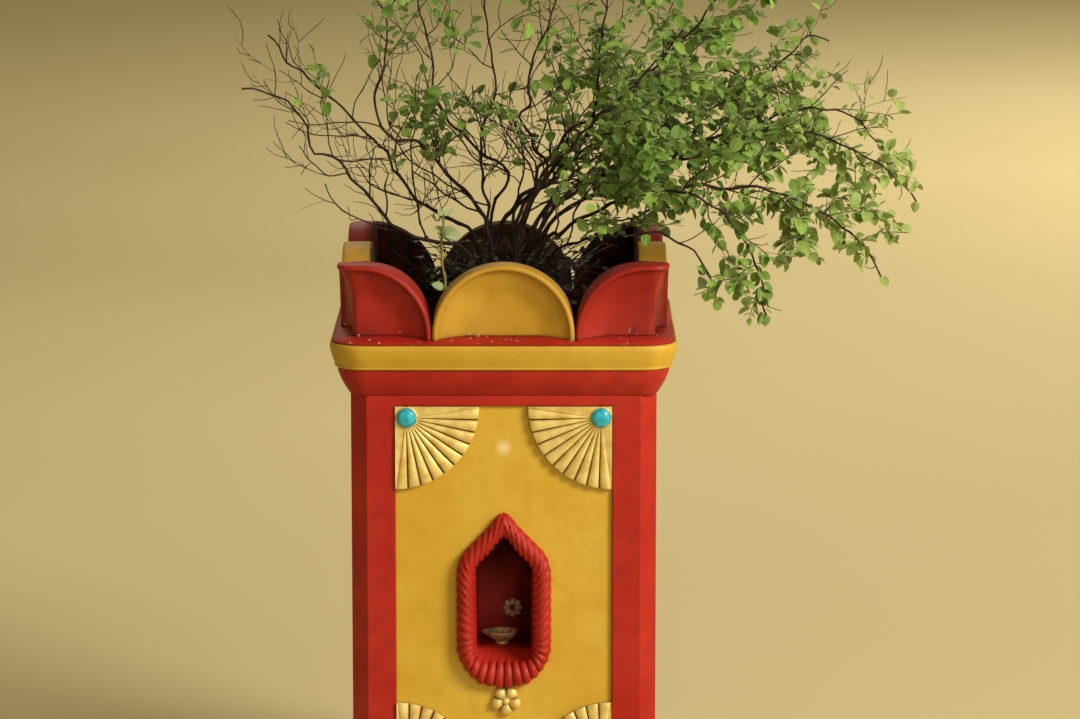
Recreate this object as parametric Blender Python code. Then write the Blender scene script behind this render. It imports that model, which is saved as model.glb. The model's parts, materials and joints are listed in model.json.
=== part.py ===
"""A holy basil plant in its square lotus-rimmed pot, in metres. The front is -Y and up is +Z."""

import collections
import math
import random

import bmesh
import bpy
from mathutils import Matrix, Vector
from mathutils.bvhtree import BVHTree

# Pot sizes
GAP = 0.0003
PLINTH_HALF = 0.230
PLINTH_TOP = 0.055
PLINTH_EDGE = 0.005
FOOT_HALF = 0.211
FOOT_RISE = 0.011
FOOT_SHOULDER = (0.009, 0.021)
PILLAR_HALF = 0.192
PILLAR_FOOT = 0.085
PILLAR_TOP = 0.620
CORNER_CUT = 0.020
CORNICE_HALF = 0.2085
CORNICE_TOP = 0.655
CORNICE_STEPS = 4
CORNICE_FULLNESS = 0.4
BAND_LOW_HALF = 0.2115
BAND_TOP_HALF = 0.2180
BAND_TOP = 0.687
BAND_LIP = 0.0025
LEDGE_HALF = 0.2145
LEDGE_TOP_HALF = 0.1695
LEDGE_AT_PETAL = 0.6915
LEDGE_TOP = 0.7000
ROUND_STEPS = 2

# The hollow inside
BASIN_HALF = 0.160
BASIN_CUT = 0.012
BASIN_FLOOR = 0.515
BASIN_UNDERSIDE = 0.480
DRAIN_RADIUS = 0.0125
DRAIN_SEAT = 0.09
OUTLET_HEIGHT = 0.102
CUT_OVER = 0.02

# Panels and their ornament
PANEL_HALF = 0.1365
PANEL_LOW = 0.120
PANEL_HIGH = 0.607
PANEL_FACE = 0.1875
PANEL_BACK = 0.1835
FAN_RADIUS = 0.105
FAN_HUB = 0.014
FAN_RIBS = 10
FAN_BASE = 0.005
FAN_CREST = 0.0085
FAN_MARGIN = 0.0006
BEAD_RADIUS = 0.0125
BEAD_SIDES = 12
BEAD_PROFILE = ((1.0, 0.0), (0.93, 0.004), (0.5, 0.0085))
FLOWER_RADIUS = 0.0190
FLOWER_SEAT = (0.0025, 0.2274)
FLOWER_NOTCH = 0.30
FLOWER_LEVELS = ((1.0, 0.0, 0.0), (1.0, 0.002, 0.004), (0.62, 0.003, 0.0085), (0.25, 0.007, 0.007))

# Petals on the rim
PETAL_OUTER = 0.2075
PETAL_INNER = 0.1695
PETAL_RADIUS = 0.0888
PETAL_STILT = 0.0061
PETAL_STEPS = 12
PETAL_EDGE = 0.002
PETAL_BEAD = 0.007
PETAL_CREST = 0.6
PETAL_STEP = 0.004
PETAL_DISH = 0.018
PETAL_SLOPE = 0.035
CORNER_PETAL_RADIUS = 0.090
CORNER_PETAL_CENTRE = 0.180
CORNER_PETAL_STILT = 0.0045
CORNER_PETAL_WING = CORNER_PETAL_RADIUS + PETAL_OUTER - CORNER_CUT - CORNER_PETAL_CENTRE

# Lamp niche: the right half of each outline, from the tip down to the middle of the sill
NICHE_OUTER = (
    (0.0, 0.4704), (0.008, 0.4660), (0.018, 0.4526), (0.037, 0.4329), (0.050, 0.4196), (0.0555, 0.4094),
    (0.0590, 0.3940), (0.0590, 0.2937), (0.0546, 0.2781), (0.0446, 0.2627), (0.0300, 0.2498), (0.0, 0.2443),
)
NICHE_MOUTH = (
    (0.0, 0.4410), (0.008, 0.4320), (0.018, 0.4185), (0.028, 0.4095), (0.0345, 0.4020), (0.0370, 0.3940),
    (0.0370, 0.2950), (0.0355, 0.2865), (0.0310, 0.2815), (0.0240, 0.2780), (0.0, 0.2780),
)
NICHE_POINTS = 44
NICHE_WALL = 0.005
NICHE_BACK = 0.0875
NICHE_CREST = 0.2040
NICHE_LIP = 0.006
NICHE_EASE = 0.008
NICHE_SILL_DEPTH = 0.160
NICHE_FLOOR = 0.287
ROPE_RELIEF = 0.0015
ROPE_CREST_SHARE = 0.48
ROSETTE_SEAT = (0.0103, 0.3254)
ROSETTE_RADIUS = 0.0127
ROSETTE_NOTCH = 0.22
ROSETTE_LEVELS = ((1.0, 0.0, 0.0), (1.0, 0.002, 0.0025), (0.6, 0.0028, 0.0042), (0.25, 0.002, 0.002))
DIYA_SEAT = (-0.003, -0.125)
DIYA_RADIUS = 0.0195
DIYA_SIDES = 16
DIYA_PROFILE = ((0.42, 0.0), (0.70, 0.006), (0.95, 0.012), (1.0, 0.0165), (0.93, 0.0165), (0.80, 0.011),
                (0.45, 0.006))
SPOUT_REACH = 0.40
SPOUT_SPREAD = 0.33

# Soil
SOIL_EDGE = 0.655
SOIL_TOP = 0.665
SOIL_SHOULDER = ((0.115, -0.003, 0.030), (0.075, 0.0, 0.022))
HOLE_SIDES = 6
HOLE_CLEARANCE = 0.0006
STEM_FOOT = 0.600

# The stems: name, radius at the soil in mm, place in the soil, then points along the stem in mm
STEMS = (
    ("stem_low_left", 3.4, (-30, -14), (
        (-36, -18, 745), (-60, -22, 788), (-85, -28, 792), (-115, -35, 802), (-140, -42, 815),
        (-160, -48, 840), (-190, -55, 870), (-215, -62, 908), (-240, -66, 912), (-250, -70, 945),
        (-260, -74, 965), (-290, -80, 985), (-330, -90, 995))),
    ("stem_left", 3.1, (-28, 12), (
        (-30, 18, 740), (-42, 25, 790), (-62, 32, 808), (-88, 40, 822), (-120, 50, 835),
        (-128, 58, 852), (-146, 66, 875), (-152, 72, 895), (-172, 80, 912), (-198, 90, 938),
        (-230, 100, 965), (-270, 112, 998), (-310, 125, 1040))),
    ("stem_upper_left", 3.3, (-13, -22), (
        (-14, -20, 740), (-22, -14, 800), (-32, -14, 828), (-48, -20, 848), (-66, -30, 868),
        (-100, -50, 915), (-140, -70, 932), (-165, -85, 962), (-158, -95, 1000), (-145, -105, 1055),
        (-155, -115, 1105), (-168, -120, 1150))),
    ("stem_crossing", 3.0, (-14, 32), (
        (-15, 32, 740), (-16, 32, 800), (-10, 36, 838), (6, 44, 870), (-28, 58, 894), (-55, 78, 917),
        (-76, 95, 938), (-94, 115, 970), (-96, 130, 1008), (-106, 140, 1058), (-120, 150, 1120))),
    ("stem_inner", 2.9, (0, -4), (
        (2, -2, 740), (8, 0, 800), (16, -2, 835), (36, -8, 852), (52, -16, 870), (54, -24, 890),
        (42, -32, 908), (30, -42, 932), (18, -54, 952), (30, -62, 975), (32, -68, 1005),
        (46, -80, 1055), (64, -90, 1100), (70, -96, 1155))),
    ("stem_main", 4.4, (2, 16), (
        (0, 18, 740), (-6, 14, 795), (0, 12, 818), (14, 14, 832), (36, 20, 850), (62, 24, 866),
        (82, 30, 882), (96, 36, 900), (104, 42, 920), (116, 48, 942), (124, 56, 975), (122, 63, 1025),
        (132, 71, 1080), (146, 79, 1150))),
    ("stem_right", 4.0, (26, 8), (
        (30, 8, 740), (40, 8, 790), (52, 12, 822), (72, 20, 842), (112, 34, 864), (160, 50, 878),
        (225, 66, 884), (285, 76, 902), (345, 82, 922), (405, 84, 916), (455, 86, 896), (500, 86, 866),
        (535, 84, 828))),
    ("stem_front_right", 3.5, (28, -12), (
        (36, -18, 745), (50, -30, 792), (72, -42, 806), (98, -56, 822), (128, -72, 842),
        (170, -95, 862), (225, -120, 868), (265, -135, 850), (300, -143, 812), (320, -147, 765),
        (330, -149, 715))),
    ("stem_back_right", 3.6, (14, 30), (
        (22, 32, 745), (38, 36, 800), (60, 50, 836), (95, 72, 870), (142, 96, 895), (205, 125, 908),
        (255, 145, 930), (310, 160, 962), (360, 172, 1000), (398, 180, 1035), (428, 184, 1030))),
    ("stem_high_right", 3.8, (14, -24), (
        (16, -26, 745), (26, -28, 810), (42, -38, 855), (74, -54, 902), (118, -76, 950),
        (165, -96, 996), (210, -112, 1045), (255, -125, 1098), (295, -135, 1160))),
    ("stem_middle", 2.9, (-14, 2), (
        (-14, 2, 740), (-18, 2, 800), (-24, 4, 850), (-30, 6, 895), (-26, 8, 935), (-12, 12, 975),
        (-16, 8, 1028), (-26, 2, 1088), (-16, -6, 1160))),
    ("stem_low_right", 2.9, (42, -2), (
        (50, -10, 735), (62, -32, 776), (92, -62, 796), (134, -96, 808), (182, -126, 816),
        (222, -145, 806), (254, -154, 778), (266, -158, 738))),
    ("stem_front", 3.2, (6, -40), (
        (10, -46, 745), (18, -62, 805), (34, -88, 856), (62, -124, 906), (104, -162, 954),
        (144, -194, 994), (184, -217, 1040), (222, -234, 1085))),
    ("stem_back", 3.2, (0, 42), (
        (4, 46, 745), (14, 62, 800), (32, 88, 842), (62, 128, 888), (116, 168, 930), (184, 202, 962),
        (262, 228, 985), (330, 246, 972), (392, 254, 948))),
    ("stem_far_right", 3.6, (32, 27), (
        (36, 30, 740), (52, 38, 795), (84, 44, 826), (130, 40, 842), (190, 26, 852), (250, 10, 858),
        (310, -6, 860), (366, -20, 848), (416, -30, 824), (456, -36, 790), (482, -38, 748))),
    ("stem_far_back", 3.6, (20, 46), (
        (26, 52, 745), (48, 66, 800), (84, 86, 836), (130, 112, 864), (190, 140, 880), (262, 150, 898),
        (330, 142, 924), (396, 130, 944), (450, 118, 938), (492, 110, 902))),
)
SHOOT = ("green_shoot", 2.2, (-72, -96), ((-74, -95, 720), (-76, -93, 775), (-79, -91, 832)))
SHOOT_TIP = 0.0016
# joint, heading, length
SHOOT_LEAVES = ((4, (0.85, -0.35, 0.35), 0.036), (4, (-0.5, 0.5, 0.6), 0.024),
                (8, (-0.7, -0.4, 0.5), 0.022), (8, (0.6, 0.4, 0.6), 0.020))

# How the plant grows
PLANT_SEED = 21
STEM_TIP = 0.0011
STEM_TAPER = 1.35
TWIG_TAPER = 0.85
MAIN_STEP = 0.018
KNEE = 0.0016
GOLDEN_ANGLE = 2.39996
UP = Vector((0.0, 0.0, 1.0))
SIDE_LEVELS = 3
FIRST_SHOOT = (0.30, 0.14, 0.15)
SHOOT_CHANCE = (0.92, 0.92, 0.75)
SHOOT_REACH = (0.150, 0.085, 0.050)
SHOOT_STEP = (0.019, 0.016, 0.014)
SHOOT_FORWARD = (0.75, 0.85, 0.90)
SHOOT_LIFT = (0.10, 0.06, 0.05)
SHOOT_THICKNESS = (0.0021, 0.0015, 0.0011)
SHOOT_WANDER = 0.16
SHOOT_SINKING = 0.35
SHOOT_THINNER = 0.62
SHOOT_NARROWING = 0.55
LEAF_LENGTH = 0.030
LEAF_START = (1.0, 0.45, 0.28, 0.20)
LEAF_SINK = 0.0015

# The space that twigs and leaves keep to
KEEP_OFF = 0.235
LOWEST_OVER_POT = 0.802
LOWEST_HANGING = 0.690
HIGHEST = 1.185
LEFTMOST = -0.345
RIGHTMOST = 0.552
DEEPEST = 0.285

# Where the leaves stand close: across, up, half width, half height in mm, then how thick they are
LEAFY = (
    (254, 958, 165, 125, 1.0), (370, 860, 130, 95, 1.0), (474, 880, 90, 66, 0.9), (312, 738, 60, 66, 1.0),
    (280, 1074, 150, 85, 0.95), (125, 1020, 66, 78, 0.95), (-95, 945, 48, 36, 1.0), (-82, 1076, 110, 44, 0.7),
    (-231, 1022, 38, 38, 0.75), (-153, 1085, 44, 36, 0.9), (-11, 981, 30, 26, 0.85), (168, 838, 62, 48, 0.95),
    (90, 925, 60, 40, 0.45), (-29, 862, 24, 16, 0.5), (100, 1150, 270, 55, 0.8),
)

# What the solids keep of the whole plant
SOLID_SHARE = (1.0, 0.62, 0.12)
SOLID_SIDES = (4, 3, 3)
SOLID_LEAVES = 206
LEAF_THICKNESS = 0.0007
LEAF_SHAPE = ((0.0, 0.0, 0.0), (0.25, 0.27, 0.05), (0.62, 0.25, 0.0), (1.0, 0.0, -0.17), (0.62, -0.25, 0.0),
              (0.25, -0.27, 0.05))
SOLID_CLEARANCE = 0.0004
THINNEST_SOLID = 0.0011

Branch = collections.namedtuple("Branch", "stem level points radii rank")
Leaf = collections.namedtuple("Leaf", "stem branch joint seat heading face length rank")


def clear_scene():
    for leftover in list(bpy.data.objects):
        bpy.data.objects.remove(leftover)


def linear(code):
    """Linear colour of an sRGB hex code."""
    parts = [int(code[at:at + 2], 16) / 255 for at in (0, 2, 4)]
    return [part / 12.92 if part <= 0.04045 else ((part + 0.055) / 1.055) ** 2.4 for part in parts]


def finish(name, code, roughness, metallic=0.0):
    """The material of one node."""
    made = bpy.data.materials.new(name)
    made.use_nodes = True
    shader = made.node_tree.nodes["Principled BSDF"]
    shader.inputs["Base Color"].default_value = (*linear(code), 1.0)
    shader.inputs["Roughness"].default_value = roughness
    shader.inputs["Metallic"].default_value = metallic
    return made


def red_paint(name):
    return finish(name, "a62a1c", 0.42)


def yellow_paint(name):
    return finish(name, "d3a02f", 0.45)


def gold_paint(name):
    return finish(name, "d9bb62", 0.35, 0.6)


def mesh_object(name, points, faces, material=None, smooth=False):
    """A closed mesh with its faces turned outward."""
    mesh = bpy.data.meshes.new(name)
    mesh.from_pydata([tuple(point) for point in points], [], faces)
    work = bmesh.new()
    work.from_mesh(mesh)
    bmesh.ops.recalc_face_normals(work, faces=work.faces[:])
    work.to_mesh(mesh)
    work.free()
    if smooth:
        mesh.shade_smooth()
    if material:
        mesh.materials.append(material)
    made = bpy.data.objects.new(name, mesh)
    bpy.context.scene.collection.objects.link(made)
    return made


def loft(name, rings, material=None, ring_shaped=False, smooth=False):
    """A closed body through rings of equally many points, capped at its ends or closed on itself."""
    count = len(rings[0])
    points = [point for ring in rings for point in ring]
    faces = []
    pairs = list(zip(range(len(rings)), range(1, len(rings))))
    if ring_shaped:
        pairs.append((len(rings) - 1, 0))
    for low, high in pairs:
        for index in range(count):
            after = (index + 1) % count
            a, b = low * count, high * count
            faces.append((a + index, a + after, b + after, b + index))
    if not ring_shaped:
        faces.append(tuple(range(count)))
        faces.append(tuple(range((len(rings) - 1) * count, len(rings) * count)))
    return mesh_object(name, points, faces, material, smooth)


def square(half, height, cut=CORNER_CUT, steps=1):
    """A level square ring with its corners cut off, or rounded in a few steps."""
    near = half - cut
    ring = []
    for quarter in range(4):
        for step in range(steps + 1):
            turn = math.pi / 2 * step / steps
            corner = (near + cut * math.cos(turn), near + cut * math.sin(turn), height)
            ring.append(turned(corner, quarter))
    return ring


def turned(point, quarter):
    """The point turned about the pot's axis by whole right angles."""
    x, y, z = point
    for _ in range(quarter % 4):
        x, y = -y, x
    return (x, y, z)


def turn_object(made, quarter):
    """Turns an object's own mesh about the pot's axis by whole right angles."""
    for vertex in made.data.vertices:
        vertex.co = turned(vertex.co, quarter)
    return made


def cut(made, cutter):
    """Takes the cutter out of the object."""
    tool = made.modifiers.new(cutter.name, "BOOLEAN")
    tool.operation = "DIFFERENCE"
    tool.object = cutter
    cutter.hide_render = True
    cutter.display_type = "WIRE"


def circle(radius, count, place):
    """A ring of points; place turns across and along into a point in space."""
    turns = (math.tau * index / count for index in range(count))
    return [place(radius * math.cos(turn), radius * math.sin(turn)) for turn in turns]


def rod(name, radius, place, start, end, count=16):
    """A round body between two levels."""
    return loft(name, [circle(radius, count, lambda u, v, at=at: place(u, v, at)) for at in (start, end)])


# The pot's body
def plinth():
    rings = [square(PLINTH_HALF, 0.0), square(PLINTH_HALF, PLINTH_TOP - PLINTH_EDGE),
             square(PLINTH_HALF - PLINTH_EDGE, PLINTH_TOP)]
    return loft("plinth", rings, red_paint("red cement paint, plinth"))


def pillar():
    """The body: foot moulding, recessed sides, planting basin above and hollow pedestal below."""
    inset, rise = FOOT_SHOULDER
    rings = [
        square(FOOT_HALF, PLINTH_TOP + GAP),
        square(FOOT_HALF, PLINTH_TOP + FOOT_RISE),
        square(FOOT_HALF - inset, PLINTH_TOP + rise),
        square(PILLAR_HALF, PILLAR_FOOT),
        square(PILLAR_HALF, PILLAR_TOP),
    ]
    body = loft("pillar", rings, red_paint("red cement paint, pillar"))
    basin = loft("cut_basin", [square(BASIN_HALF, BASIN_FLOOR, BASIN_CUT),
                               square(BASIN_HALF, PILLAR_TOP + CUT_OVER, BASIN_CUT)])
    pedestal = loft("cut_pedestal", [square(BASIN_HALF, PLINTH_TOP - CUT_OVER, BASIN_CUT),
                                     square(BASIN_HALF, BASIN_UNDERSIDE, BASIN_CUT)])
    drain = rod("cut_drain", DRAIN_RADIUS, lambda u, v, z: (u - DRAIN_SEAT, v + DRAIN_SEAT, z),
                BASIN_UNDERSIDE - CUT_OVER, BASIN_FLOOR + CUT_OVER)
    outlet = rod("cut_outlet", DRAIN_RADIUS, lambda u, v, y: (u, y, v + OUTLET_HEIGHT),
                 BASIN_HALF - CUT_OVER, FOOT_HALF + CUT_OVER)
    for cutter in (basin, pedestal, drain, outlet):
        cut(body, cutter)
    for quarter in range(4):
        field = slab("cut_panel_%d" % quarter, PANEL_BACK - GAP, PILLAR_HALF + CUT_OVER, GAP)
        cut(body, turn_object(field, quarter))
    cut(body, niche_cutter("cut_niche_pillar"))
    return body


def slab(name, back, front, margin=0.0, material=None):
    """A flat block in the front side's field."""
    half = PANEL_HALF + margin
    low = PANEL_LOW - margin
    high = PANEL_HIGH + margin
    rings = []
    for depth in (back, front):
        rings.append([(-half, -depth, low), (half, -depth, low), (half, -depth, high), (-half, -depth, high)])
    return loft(name, rings, material)


def panels():
    names = ("panel_front", "panel_right", "panel_back", "panel_left")
    for quarter, name in enumerate(names):
        panel = slab(name, PANEL_BACK, PANEL_FACE, 0.0, yellow_paint("yellow cement paint, " + name))
        turn_object(panel, quarter)
        if quarter == 0:
            cut(panel, niche_cutter("cut_niche_panel"))


def ring_body(name, profile, material):
    """A square ring: its outer profile from below, with the basin's walls inside."""
    rings = [square(half, height, half - PILLAR_HALF + CORNER_CUT, ROUND_STEPS) for half, height in profile]
    rings.append(square(BASIN_HALF, profile[-1][1], BASIN_CUT, ROUND_STEPS))
    rings.append(square(BASIN_HALF, profile[0][1], BASIN_CUT, ROUND_STEPS))
    return loft(name, rings, material, ring_shaped=True)


def cornice():
    low = PILLAR_TOP + GAP
    rise = CORNICE_TOP - low
    swell = CORNICE_HALF - PILLAR_HALF
    profile = []
    for share in (step / CORNICE_STEPS for step in range(CORNICE_STEPS + 1)):
        bulge = (1 - CORNICE_FULLNESS) * share + CORNICE_FULLNESS * math.sin(share * math.pi / 2)
        profile.append((PILLAR_HALF + swell * bulge, low + rise * share))
    return ring_body("cornice", profile, red_paint("red cement paint, cornice"))


def rim_band():
    low = CORNICE_TOP + GAP
    profile = [(BAND_LOW_HALF - BAND_LIP, low), (BAND_LOW_HALF + BAND_LIP * 0.6, low + BAND_LIP * 0.7),
               (BAND_LOW_HALF, low + BAND_LIP * 1.8),
               (BAND_TOP_HALF, BAND_TOP - 0.006), (BAND_TOP_HALF - 0.0005, BAND_TOP - 0.002),
               (BAND_TOP_HALF - 0.003, BAND_TOP)]
    return ring_body("rim_band", profile, yellow_paint("yellow cement paint, rim band"))


def ledge_height(half):
    """Height of the rim ledge's top at a distance from the axis."""
    if half > PETAL_OUTER:
        share = (LEDGE_HALF - half) / (LEDGE_HALF - PETAL_OUTER)
        return BAND_TOP + GAP + (LEDGE_AT_PETAL - BAND_TOP - GAP) * share
    share = min((PETAL_OUTER - half) / (PETAL_OUTER - LEDGE_TOP_HALF), 1.0)
    return LEDGE_AT_PETAL + (LEDGE_TOP - LEDGE_AT_PETAL) * share


def rim_ledge():
    low = BAND_TOP + GAP
    profile = [(LEDGE_HALF + 0.001, low), (LEDGE_HALF, low + 0.001), (PETAL_OUTER, ledge_height(PETAL_OUTER)),
               (LEDGE_TOP_HALF, ledge_height(LEDGE_TOP_HALF))]
    return ring_body("rim_ledge", profile, red_paint("red cement paint, rim ledge"))


# Petals
def petal_level(height, top, depth):
    """Height of a petal's point: its foot follows the sloped ledge and its top stays level."""
    foot = ledge_height(depth) + GAP
    outer_foot = ledge_height(PETAL_OUTER) + GAP
    return foot + height * (top - (foot - outer_foot)) / top


def petal_arcs(arc):
    """The arcs of a petal: inner face, edge, raised bead and dished face, as (inset, depth)."""
    return [
        arc(0.0, PETAL_INNER),
        arc(0.0, PETAL_OUTER - PETAL_EDGE),
        arc(PETAL_BEAD * PETAL_CREST, PETAL_OUTER),
        arc(PETAL_BEAD, PETAL_OUTER - PETAL_STEP),
        arc(PETAL_BEAD + PETAL_SLOPE, PETAL_OUTER - PETAL_DISH),
    ]


def arc_strips(arcs):
    """The faces between neighbouring arcs."""
    count = len(arcs[0])
    faces = []
    for low in range(len(arcs) - 1):
        base = low * count
        for index in range(count - 1):
            faces.append((base + index, base + index + 1, base + count + index + 1, base + count + index))
    return faces


def middle_petals():
    """The half-round petal in the middle of each side."""
    top = PETAL_STILT + PETAL_RADIUS
    outline = [(PETAL_RADIUS, 0.0)]
    for step in range(PETAL_STEPS + 1):
        turn = math.pi * step / PETAL_STEPS
        outline.append((PETAL_RADIUS * math.cos(turn), PETAL_STILT + PETAL_RADIUS * math.sin(turn)))
    outline.append((-PETAL_RADIUS, 0.0))

    def arc(inset, depth):
        share = 1 - inset / PETAL_RADIUS
        return [(along * share, -depth, petal_level(height * (1 - inset / top), top, depth))
                for along, height in outline]

    arcs = petal_arcs(arc)
    count = len(outline)
    points = [point for each in arcs for point in each]
    last = (len(arcs) - 1) * count
    faces = arc_strips(arcs) + [tuple(range(count)), tuple(range(last, last + count))]
    right = [row * count for row in range(len(arcs))]
    faces.append(tuple(right + [start + count - 1 for start in reversed(right)]))
    for quarter, side in enumerate(("front", "right", "back", "left")):
        paint = yellow_paint("yellow cement paint, %s petal" % side)
        turn_object(mesh_object("petal_" + side, points, faces, paint), quarter)


def corner_place(along, level, depth):
    """A point of the front right corner; along runs round the cut corner, from its middle."""
    mitre = math.tan(math.pi / 8)
    inset = PETAL_OUTER - depth
    flat = CORNER_CUT / math.sqrt(2)
    inner_flat = flat - inset * mitre
    bend = PETAL_OUTER - CORNER_CUT
    wing = abs(along) - flat
    if wing <= 0:
        reach = along / flat * inner_flat
        middle = bend + CORNER_CUT / 2 - inset / math.sqrt(2)
        spot = Vector((middle, -middle)) + Vector((1, 1)) * reach / math.sqrt(2)
        return (spot.x, spot.y, level)
    reach = inset * mitre + wing * (1 - inset * mitre / CORNER_PETAL_WING)
    if along > 0:
        return (PETAL_OUTER - inset, -bend + reach, level)
    return (bend - reach, -PETAL_OUTER + inset, level)


def corner_petals():
    """The petals on the corners: two quarter rounds that meet in a fold."""
    flat = CORNER_CUT / math.sqrt(2)
    top = CORNER_PETAL_STILT + CORNER_PETAL_RADIUS
    steps = PETAL_STEPS // 2
    wing = [(flat + CORNER_PETAL_WING, 0.0)]
    for step in range(steps + 1):
        turn = math.pi / 2 * step / steps
        reach = CORNER_PETAL_WING - CORNER_PETAL_RADIUS * (1 - math.cos(turn))
        wing.append((flat + reach, CORNER_PETAL_STILT + CORNER_PETAL_RADIUS * math.sin(turn)))
    wing.append((flat, top))
    outline = wing + [(-along, height) for along, height in reversed(wing)]

    def arc(inset, depth):
        points = []
        for along, height in outline:
            reach = (abs(along) - flat) * (1 - inset / CORNER_PETAL_WING)
            drawn = math.copysign(flat + reach, along)
            points.append(corner_place(drawn, petal_level(height * (1 - inset / top), top, depth), depth))
        return points

    arcs = petal_arcs(arc)
    feet = [corner_place(side * flat, petal_level(0.0, top, depth), depth)
            for depth in (PETAL_INNER, PETAL_OUTER - PETAL_DISH) for side in (1, -1)]
    names = ("petal_front_right", "petal_back_right", "petal_back_left", "petal_front_left")
    for quarter, name in enumerate(names):
        turn_object(folded_petal(name, arcs, feet, red_paint("red cement paint, " + name)), quarter)


def folded_petal(name, arcs, feet, material):
    """Closes the arcs with an inner face, an outer face and a foot, each folded at the cut corner."""
    count = len(arcs[0])
    half = count // 2
    points = [point for each in arcs for point in each] + feet
    inner_right, inner_left, outer_right, outer_left = range(len(points) - 4, len(points))
    faces = arc_strips(arcs)
    last = len(points) - 4 - count
    for start, right, left in ((0, inner_right, inner_left), (last, outer_right, outer_left)):
        faces.append((right,) + tuple(range(start, start + half)))
        faces.append((right, start + half - 1, start + half, left))
        faces.append(tuple(range(start + half, start + count)) + (left,))
    ends = [row * count for row in range(len(arcs))]
    faces.append((inner_right,) + tuple(ends) + (outer_right,))
    faces.append((inner_right, outer_right, outer_left, inner_left))
    faces.append((outer_left,) + tuple(end + count - 1 for end in reversed(ends)) + (inner_left,))
    return mesh_object(name, points, faces, material)


# Ornament of the front panel
def ornament_place(origin, right, up):
    """Turns (right, up, out) on the front panel into a point, from a corner and two signs."""
    def place(u, v, out):
        return (origin[0] + right * u, -PANEL_FACE - GAP - out, origin[1] + up * v)
    return place


def fan(name, place):
    """A ribbed quarter fan, spread from the bead in the panel's corner."""
    columns = 2 * FAN_RIBS
    hub = Vector((FAN_HUB, FAN_HUB))
    rim = [Vector((math.cos(turn), math.sin(turn))) * FAN_RADIUS
           for turn in (math.pi / 2 * column / columns for column in range(columns + 1))]
    points = [place(0.0, 0.0, 0.0), place(0.0, 0.0, FAN_BASE)]
    for column, edge in enumerate(rim):
        near = hub + (edge - hub).normalized() * (BEAD_RADIUS * 1.15)
        crest = FAN_CREST if column % 2 else FAN_BASE
        points += [place(*edge, 0.0), place(*edge, crest), place(*near, FAN_BASE)]
    faces = [(0,) + tuple(2 + 3 * column for column in range(columns + 1))]
    faces.append((1,) + tuple(4 + 3 * column for column in range(columns + 1)))
    for column in range(columns):
        foot = 2 + 3 * column
        faces.append((foot, foot + 3, foot + 4, foot + 1))
        faces.append((foot + 1, foot + 4, foot + 5, foot + 2))
    last = 2 + 3 * columns
    faces += [(1, 3, 4), (0, 2, 3, 1), (1, last + 1, last + 2), (0, last, last + 1, 1)]
    return mesh_object(name, points, faces, gold_paint("gold paint, " + name))


def bead(name, place):
    """A round turquoise bead on the hub of a fan."""
    seat = FAN_BASE + GAP
    rings = []
    for radius, out in BEAD_PROFILE:
        rings.append(circle(BEAD_RADIUS * radius, BEAD_SIDES,
                            lambda u, v, out=out: place(FAN_HUB + u, FAN_HUB + v, seat + out)))
    return loft(name, rings, finish("turquoise enamel, " + name, "3fb8b4", 0.2), smooth=True)


def fans_and_beads():
    corners = (("top_left", -1, 1), ("top_right", 1, 1), ("low_left", -1, -1), ("low_right", 1, -1))
    for label, side, above in corners:
        height = PANEL_HIGH - FAN_MARGIN if above > 0 else PANEL_LOW + FAN_MARGIN
        place = ornament_place((side * (PANEL_HALF - FAN_MARGIN), height), -side, -above)
        fan("fan_" + label, place)
        bead("bead_" + label, place)


def star(name, place, radius, lobes, notch, levels, material):
    """A lobed relief: levels give (share of the radius, height at a notch, height at a crest)."""
    columns = (4 if lobes < 6 else 2) * lobes
    rings = []
    for share, low, high in levels:
        ring = []
        for column in range(columns):
            turn = math.tau * column / columns
            wave = abs(math.cos(turn * lobes / 2))
            reach = radius * share * (1 - notch * share * (1 - wave))
            ring.append(place(reach * math.sin(turn), reach * math.cos(turn), low + (high - low) * wave))
        rings.append(ring)
    return loft(name, rings, material)


def gold_flower():
    place = ornament_place(FLOWER_SEAT, 1, -1)
    paint = gold_paint("gold paint, flower")
    return star("gold_flower", place, FLOWER_RADIUS, 5, FLOWER_NOTCH, FLOWER_LEVELS, paint)


# Lamp niche
def whole_outline(half, count):
    """A closed outline of equally spaced points from its right half."""
    corners = [Vector(point) for point in half]
    corners += [Vector((-x, z)) for x, z in reversed(half[1:-1])]
    corners.append(corners[0])
    lengths = [(b - a).length for a, b in zip(corners, corners[1:])]
    stride = sum(lengths) / count
    points = []
    for index in range(count):
        left = index * stride
        leg = 0
        while left > lengths[leg] + 1e-9:
            left -= lengths[leg]
            leg += 1
        points.append(corners[leg].lerp(corners[leg + 1], left / lengths[leg]))
    return points


def grown(outline, amount):
    """The outline moved outward by an amount."""
    count = len(outline)
    moved = []
    for index, point in enumerate(outline):
        along = (outline[(index + 1) % count] - outline[index - 1]).normalized()
        moved.append(point + Vector((-along.y, along.x)) * amount)
    return moved


def at_depth(outline, depth, waves=None):
    """The outline stood upright at a distance from the pot's axis, with a small relief."""
    ring = []
    for index, point in enumerate(outline):
        rise = waves[index] if waves else 0.0
        ring.append((point.x, -depth - rise, point.y))
    return ring


def niche_liner(extra=0.0):
    """Outer outline of the box behind the mouth."""
    mouth = whole_outline(NICHE_MOUTH, NICHE_POINTS)
    return grown(mouth, NICHE_WALL + extra)


def niche_cutter(name):
    """Makes room for the box behind the mouth."""
    liner = niche_liner(GAP)
    return loft(name, [at_depth(liner, BASIN_HALF - CUT_OVER), at_depth(liner, PILLAR_HALF + CUT_OVER)])


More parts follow.
